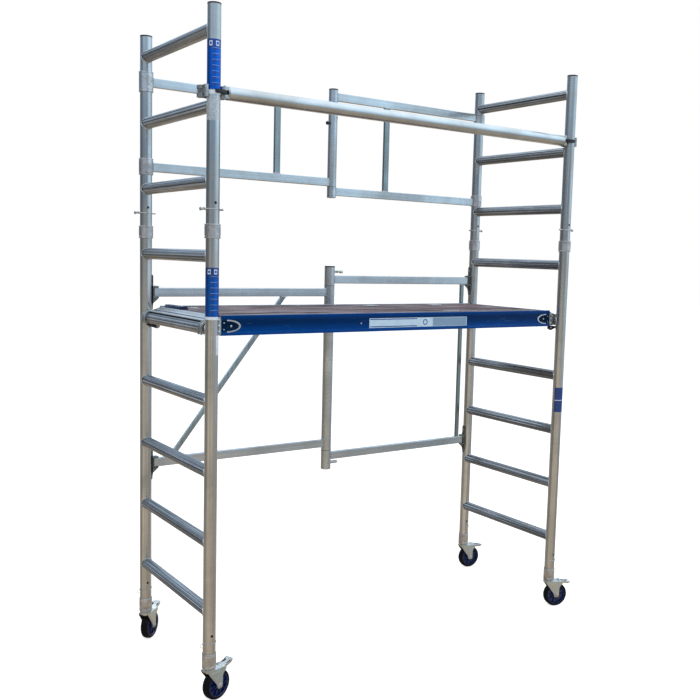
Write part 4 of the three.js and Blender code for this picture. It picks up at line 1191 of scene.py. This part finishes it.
def gate(level, left_heights, right_heights, split, post_r):
    """The shared parts of one folding gate: two rails a side, the post's core and its knuckles."""
    left_node, right_node = f"{level}_gate_left", f"{level}_gate_right"
    left_low, _ = span(left_node)
    right_low, right_high = span(right_node)
    left, right, left_welds, right_welds = Shape(), Shape(), Shape(), Shape()
    inner_r = post_r - 4.5
    post_tube(left, post_r, split[0], split[1], inner_r - 3)
    post_tube(left, inner_r, right_low.z + 12, right_high.z - 12, inner_r - 3)
    for low, high in ((right_low.z, split[0] - 0.4), (split[1] + 0.4, right_high.z)):
        post_tube(right, post_r, low, high, post_r - 3.4)
    ferrule(right_welds, 0, GATE_Y, right_high.z, post_r, 3.4, 1)
    in_post = post_r - 4
    for z in left_heights:
        start = left_low.x if level == "lower" else left_low.x + 2 * SLEEVE_R - 4
        gate_rail(left, start, -in_post, z)
        rail_weld(left_welds, 0, post_r, -1, z)
    for z in right_heights:
        gate_rail(right, in_post, right_high.x, z)
        rail_weld(right_welds, 0, post_r, 1, z)
        plug = rounded(rectangle((GATE_Y - 8, z - 18), (GATE_Y + 8, z + 18)), 2)
        right.plate(plug, right_high.x - 14, right_high.x - 0.5, "X", 2)
    washer = [(inner_r, -0.7), (post_r + 0.6, -0.7), (post_r + 0.6, 0.7), (inner_r, 0.7)]
    for z in split:
        left_welds.inside(move(0, GATE_Y, z)).turn(washer, 48, 1)
    return left, right, left_welds, right_welds


def lower_gates():
    """Both halves of the lower gate, with the diagonal brace and the stop lug under its post."""
    left_heights, right_heights = (830, 1600), (762, 1665)
    splits, post_r, stop_z = (794, 1634), 25.4, 726
    left, right, left_welds, right_welds = gate("lower", left_heights, right_heights, splits, post_r)
    brace = (-852, left_heights[0] - 8), (-240, left_heights[1] + 8)
    box_bar(left, left_welds, left_heights, *brace, 22)
    upright_bar(right, right_welds, right_heights, 868, 20)
    stop = right.inside(aim((20, GATE_Y, stop_z), (1, 0, 0)))
    stop.turn([(0, 0), (8, 0), (8, 44), (7, 46), (0, 46)], 28)
    finish_gate("lower", left, right, left_welds, right_welds)


def post_latch():
    """The pin that locks the lower gate's post, with its spring."""
    coil_r, coil_steps, coil_angle = 5.6, 96, 0.42
    shape = Shape().inside(move(0, GATE_Y, middle("post_latch").z))
    pin = shape.inside(aim((0, 0, 0), (1, 0, 0)))
    pin.turn([(0, 21.5), (4, 21.5), (4, 57), (7, 58), (8, 59.4), (8, 63), (6.4, 64), (6.4, 69), (8, 70),
              (8, 73), (7, 74), (0, 74)], 32)
    coil = [(30 + 20 * k / coil_steps, coil_r * math.cos(k * coil_angle), coil_r * math.sin(k * coil_angle))
            for k in range(coil_steps + 1)]
    shape.sweep(coil, 0.8, 6, 1)
    make("post_pin", shape, [ZINC, BRIGHT], "post_latch", ["post_latch"])


def collar(shape, x, low, high, bore):
    """A sleeve round an upright, with a lip at each end."""
    outer = SLEEVE_R
    wall = [(bore, low), (outer - 0.8, low), (outer, low + 0.8), (outer, low + 6), (outer - 1.4, low + 7),
            (outer - 1.4, low + 9), (outer - 0.3, low + 10.4), (outer - 0.3, high - 8),
            (outer - 1.4, high - 7), (outer - 1.4, high - 5.4), (outer, high - 4.4), (outer, high - 0.8),
            (outer - 0.8, high), (bore, high)]
    shape.inside(move(x, GATE_Y)).turn(wall, TUBE_STEPS)


def upper_gates():
    """Both halves of the upper gate, with the two collars that turn on the left upright."""
    left_heights, right_heights = (2146, 2507), (2102, 2563)
    splits, post_r, bar_width = (2124, 2535), 22.3, 30
    left, right, left_welds, right_welds = gate("upper", left_heights, right_heights, splits, post_r)
    upright_bar(left, left_welds, left_heights, -309, bar_width)
    upright_bar(right, right_welds, right_heights, 325, bar_width)
    collars = Shape()
    for low, high in ((2111, 2181), (2464, 2549)):
        collar(collars, UPRIGHT_X["left"], low, high, TUBE_R + 1.0)
    for z in left_heights:
        rail_weld(left_welds, UPRIGHT_X["left"], SLEEVE_R, 1, z)
    make("gate_collars_left", collars, [SLEEVE_METAL], "upper_gate_left")
    finish_gate("upper", left, right, left_welds, right_welds)


def fixed_collars():
    """The two collars on the right upright, each with its screw."""
    x = UPRIGHT_X["right"]
    for level in ("bottom", "top"):
        node = f"gate_collar_{level}"
        low, high = span(node)
        shape = Shape()
        collar(shape, x, low.z, high.z, TUBE_R + 0.3)
        shape.rivet((x - 30, GATE_Y - 5, (low.z + high.z) / 2), (-1, -0.16, 0), 3.6, 1)
        make(f"collar_right_{level}", shape, [SLEEVE_METAL, BRIGHT], stands_for=[node])


def post_buttons():
    """A black knob and a dowel on the upper gate's post."""
    knob = [(0, 0), (4, 0), (4, 8), (8, 9), (9, 11), (9, 16), (7.4, 18), (0, 18.4)]
    dowel = [(0, 0), (5, 0), (5, 6), (4, 7), (0, 7)]
    for name, at, direction, profile, steps in (
            ("gate_knob", (-20, GATE_Y, 2433), (-1, -0.2, 0), knob, 28),
            ("gate_dowel", (19, GATE_Y, 2464), (1, -0.3, 0), dowel, 24)):
        shape = Shape()
        shape.inside(aim(at, direction)).turn(profile, steps)
        make(name, shape, [BLACK_PLASTIC], "upper_gate_left")


def finish_gate(level, left, right, left_welds, right_welds):
    """Makes the pieces of both halves of a gate."""
    for side, shape, welds in (("left", left, left_welds), ("right", right, right_welds)):
        node = f"{level}_gate_{side}"
        metals = [RAIL_METAL, BRIGHT, BLACK_PLASTIC, BAR_METAL]
        make(f"gate_{level}_{side}", shape, metals, node, [node], edge=0.4)
        make(f"gate_welds_{level}_{side}", welds, [WELD_METAL, BLACK_PLASTIC], node)


def hinge_brackets():
    """Cast brackets on the uprights: a saddle, two lugs with the pin between them, and a gusset."""
    for side in SIDES:
        for level in ("bottom", "top"):
            node = f"hinge_bracket_{side}_{level}"
            low, high = span(node)
            z, reach = (low.z + high.z) / 2, (high.z - low.z) / 2 - 0.3
            place = move(0, GATE_Y, z) @ (MIRROR if side == "right" else Matrix())
            web_x, pin_x, half = -UPRIGHT_X["right"] + TUBE_R + 0.3, -905, RAIL_HEIGHT / 2 + 1
            shape = Shape().inside(place)
            web = rounded([(-17, -44, 12), (-9, -58, 8), (-7, -reach, 6), (7, -reach, 6), (9, -58, 8),
                           (17, -44, 12), (17, half + 6, 5), (12.6, half + 12, 5), (12.6, reach, 9),
                           (-12.6, reach, 9), (-12.6, half + 12, 5), (-17, half + 6, 5)], 6)
            shape.plate(web, web_x, web_x + 3.1, "X")
            rim = rounded([(-9, half + 12, 4), (9, half + 12, 4), (9, reach - 5, 6), (-9, reach - 5, 6)], 4)
            shape.pipe(rim, shrunk(rim, 0.78), web_x + 2.5, web_x + 3.9, "X")
            lug = [(web_x, -17), (pin_x - 2, -17)] + arc(15, -78, 78, (pin_x - 1, 0), 12)
            lug += [(pin_x - 2, 17), (web_x, 17)]
            for start in (half, -half - 6):
                shape.plate(lug, start, start + 6, "Z")
            gusset = [(web_x, -52), (web_x, -half - 5), (pin_x + 11, -half - 5), (pin_x + 10, -half - 9),
                      (web_x + 8, -48)]
            shape.plate(rounded(gusset, 2), -3, 3, "Y")
            pin = shape.inside(move(pin_x, 0))
            pin.turn([(0, -half - 10), (4, -half - 10), (5, -half - 9), (5, half + 7), (0, half + 7)], 24, 1)
            head = [(0, half + 5.8), (8, half + 5.8), (8, half + 7.6), (6.4, half + 9), (0, half + 9)]
            pin.turn(head, 28, 1)
            for v, height in ((0, -66), (-11, -38), (11, -38), (0, 12), (0, 56)):
                shape.rivet((web_x + 3.2, v, height), (1, 0, 0), 3.6, 1)
            make(f"gate_bracket_{side}_{level}", shape, [DARK_CAST, BRIGHT], stands_for=[node],
                 edge=1.0)


# ---------- labels ----------
def wrap(shape, corner, low, high, start, end, finish, lift=0.25):
    """A thin film round part of an upright."""
    x, y = upright(corner)
    outline = arc(TUBE_R + lift, start, end, (x, y), 40) + arc(TUBE_R + 0.02, end, start, (x, y), 40)
    shape.plate(outline, low, high, "Z", finish)


def label_marks(shape, corner, low, high):
    """Blank boxes in a label's header and plain lines where its small print would be."""
    for start, end in ((205, 232), (262, 292), (318, 345)):
        wrap(shape, corner, high - 25, high - 7, start, end, 2, 0.32)
        wrap(shape, corner, high - 21, high - 11, start + 5, end - 5, 0, 0.38)
    for row in range(7):
        z = low + 16 + row * 0.115 * (high - low)
        wrap(shape, corner, z, z + 5.0, 222 + 7 * (row % 3), 300 - 11 * (row % 2), 1, 0.32)
        wrap(shape, corner, z + 8, z + 8.6, 232, 330 - 17 * (row % 3), 4, 0.32)


FILMS = [LABEL_BLUE, LABEL_NAVY, LABEL_WHITE, CLEAR_FILM, LABEL_SILVER]


def blue_label(name, corner, low, header, high, strips):
    """A blank blue film with a darker header, and plain strips: (low, high, start, end, finish)."""
    shape = Shape()
    wrap(shape, corner, low, header, 130, 400, 0)
    wrap(shape, corner, header, high, 130, 400, 1)
    for strip in strips:
        wrap(shape, corner, *strip)
    label_marks(shape, corner, low, high)
    make(name, shape, FILMS)


def labels():
    """Plain films where the tower carries its labels; nothing is printed on them."""
    blue_label("label_guard_height", "left_near", 2385, 2536, 2567,
               [(2368, 2383, 130, 400, 2), (2273, 2366, 160, 380, 3)])
    blue_label("label_deck_height", "left_near", 1541, 1695, 1727,
               [(1529, 1540, 130, 400, 2), (1394, 1469, 285, 345, 2)])
    small = Shape()
    for low, high, finish in ((1027, 1086, 1), (1086, 1089, 2), (1089, 1152, 1)):
        wrap(small, "right_near", low, high, 190, 370, finish)
    for low, high in ((1034, 1050), (1056, 1078), (1096, 1118), (1124, 1146)):
        wrap(small, "right_near", low, high, 308, 352, 4, 0.32)
    make("label_right", small, FILMS)


# ---------- studio ----------
def studio():
    """A plain pale floor and three soft lamps."""
    floor_mesh = bpy.data.meshes.new("floor")
    corners = [(u, v, 0) for u, v in rectangle((-30, -30), (30, 30))]
    floor_mesh.from_pydata(corners, [], [(0, 1, 2, 3)])
    floor = bpy.data.objects.new("floor", floor_mesh)
    recipe = Recipe("pale_floor", (0.9, 0.9, 0.9), roughness=0.8, Emission_Color=(1, 1, 1, 1),
                    Emission_Strength=0.62)
    floor_mesh.materials.append(recipe.material)
    bpy.context.scene.collection.objects.link(floor)
    floor.visible_glossy = False
    for name, at, size, power, tint in (
            ("key", (-3.0, -5.0, 7.0), 4.0, 260, (1.0, 0.985, 0.96)),
            ("fill", (6.0, -3.0, 4.0), 5.0, 120, (0.93, 0.97, 1.0)),
            ("rim", (1.0, 6.5, 5.0), 5.0, 120, (0.95, 0.98, 1.0))):
        light = bpy.data.lights.new(name, "AREA")
        light.size, light.energy, light.color = size, power, tint
        lamp = bpy.data.objects.new(name, light)
        lamp.location = at
        lamp.rotation_euler = (Vector((0, 0, 1.3)) - Vector(at)).to_track_quat("-Z", "Y").to_euler()
        lamp.visible_glossy = False
        bpy.context.scene.collection.objects.link(lamp)


TREE_LINE = [(-1.0, (0.34, 0.31, 0.26)), (-0.6, (0.36, 0.33, 0.28)), (-0.3, (0.3, 0.28, 0.25)),
             (-0.1, (0.24, 0.235, 0.22)), (-0.02, (0.12, 0.125, 0.13)), (0.1, (0.1, 0.13, 0.16)),
             (0.32, (0.22, 0.29, 0.36)), (0.6, (0.8, 0.95, 1.05)), (1.0, (1.4, 1.5, 1.6))]
OPEN_YARD = [(-1.0, (0.26, 0.23, 0.18)), (-0.3, (0.6, 0.51, 0.4)), (-0.1, (0.56, 0.5, 0.41)),
             (-0.02, (0.34, 0.34, 0.33)), (0.07, (0.12, 0.19, 0.28)), (0.13, (0.16, 0.25, 0.36)),
             (0.24, (0.56, 0.76, 1.02)), (0.5, (0.9, 1.1, 1.3)), (1.0, (1.4, 1.55, 1.7))]
BRIGHT_SKY = [(-1.0, (0.2, 0.18, 0.15)), (-0.4, (0.4, 0.37, 0.32)), (-0.2, (0.28, 0.28, 0.28)),
              (-0.08, (0.46, 0.58, 0.72)), (0.06, (0.66, 0.86, 1.04)), (0.2, (0.74, 1.02, 1.24)),
              (0.5, (1.1, 1.35, 1.5)), (1.0, (1.8, 1.9, 1.95))]


class Sky(Nodes):
    """The world's node tree, with the direction of each ray."""

    def __init__(self):
        world = bpy.data.worlds.new("studio")
        bpy.context.scene.world = world
        world.use_nodes = True
        world.cycles.sampling_method = "NONE"
        self.tree = world.node_tree
        self.direction = self.node("ShaderNodeTexCoord").outputs["Generated"]

    def gradient(self, height, stops):
        """A colour for each height of a ray: stops are (height from -1 to 1, colour)."""
        ramp = self.node("ShaderNodeValToRGB", {0: height})
        elements = ramp.color_ramp.elements
        while len(elements) < len(stops):
            elements.new(0.5)
        for element, (level, colour) in zip(elements, stops):
            element.position = (level + 1) / 2
            element.color = (*colour, 1)
        return ramp.outputs["Color"]

    def blend(self, around, low, high, first, second):
        """From the first colour to the second as the value runs from low to high."""
        share = self.node("ShaderNodeMapRange", {"Value": around, "From Min": low, "From Max": high},
                          interpolation_type="SMOOTHSTEP")
        mixed = {0: share.outputs[0], 6: first, 7: second}
        return self.node("ShaderNodeMix", mixed, data_type="RGBA").outputs[2]

    def light(self, colour, strength=1.0):
        return self.node("ShaderNodeBackground", {"Color": colour, "Strength": strength}).outputs[0]

    def choose(self, share, first, second):
        return self.node("ShaderNodeMixShader", {0: share, 1: first, 2: second}).outputs[0]


def surroundings():
    """White to the eye. In the metal: a tree line on the left, tan ground ahead, bright sky on the right."""
    sky = Sky()
    up = sky.node("ShaderNodeSeparateXYZ", {0: sky.direction}).outputs["Z"]
    height = sky.node("ShaderNodeMapRange", {"Value": up, "From Min": -1.0}).outputs[0]
    rightward = {0: sky.direction, 1: (0.82, -0.57, 0)}
    around = sky.node("ShaderNodeVectorMath", rightward, operation="DOT_PRODUCT").outputs["Value"]
    trees, yard, bright = (sky.gradient(height, stops) for stops in (TREE_LINE, OPEN_YARD, BRIGHT_SKY))
    left = sky.blend(around, -0.95, -0.6, trees, yard)
    mirrored = sky.light(sky.blend(around, 0.55, 1.0, left, bright))
    soft = sky.light((0.93, 0.96, 1.0, 1), 0.5)
    rays = sky.node("ShaderNodeLightPath").outputs
    lighting = sky.choose(rays["Is Glossy Ray"], soft, mirrored)
    seen = sky.choose(rays["Is Camera Ray"], lighting, sky.light((1, 1, 1, 1)))
    sky.tree.links.new(seen, sky.tree.nodes["World Output"].inputs[0])


def camera():
    """Stands left of the front, a little above the platform, with a slight lean and an off-centre frame."""
    yaw, pitch, roll = math.radians(36.281), math.radians(-5.878), math.radians(1.697)
    data = bpy.data.cameras.new("camera")
    data.lens, data.sensor_width, data.shift_x = 46.65, 36.0, -0.071
    eye = bpy.data.objects.new("camera", data)
    place = Matrix.Translation((-2.44767, -3.57392, 1.78947))
    turn = (Matrix.Rotation(-yaw, 4, "Z") @ Matrix.Rotation(math.pi / 2 + pitch, 4, "X")
            @ Matrix.Rotation(roll, 4, "Z"))
    eye.matrix_world = place @ turn
    bpy.context.scene.collection.objects.link(eye)
    bpy.context.scene.camera = eye
    bpy.context.scene.view_settings.view_transform = "Standard"


# ---------- assembly ----------
end_frames()
spigots()
lock_pins()
castors()
side_rails()
rail_sticker()
deck_panels()
cross_beams()
end_beams()
corner_hooks()
wind_locks()
guard_rail()
lower_gates()
post_latch()
upper_gates()
fixed_collars()
post_buttons()
hinge_brackets()
labels()
studio()
surroundings()
camera()
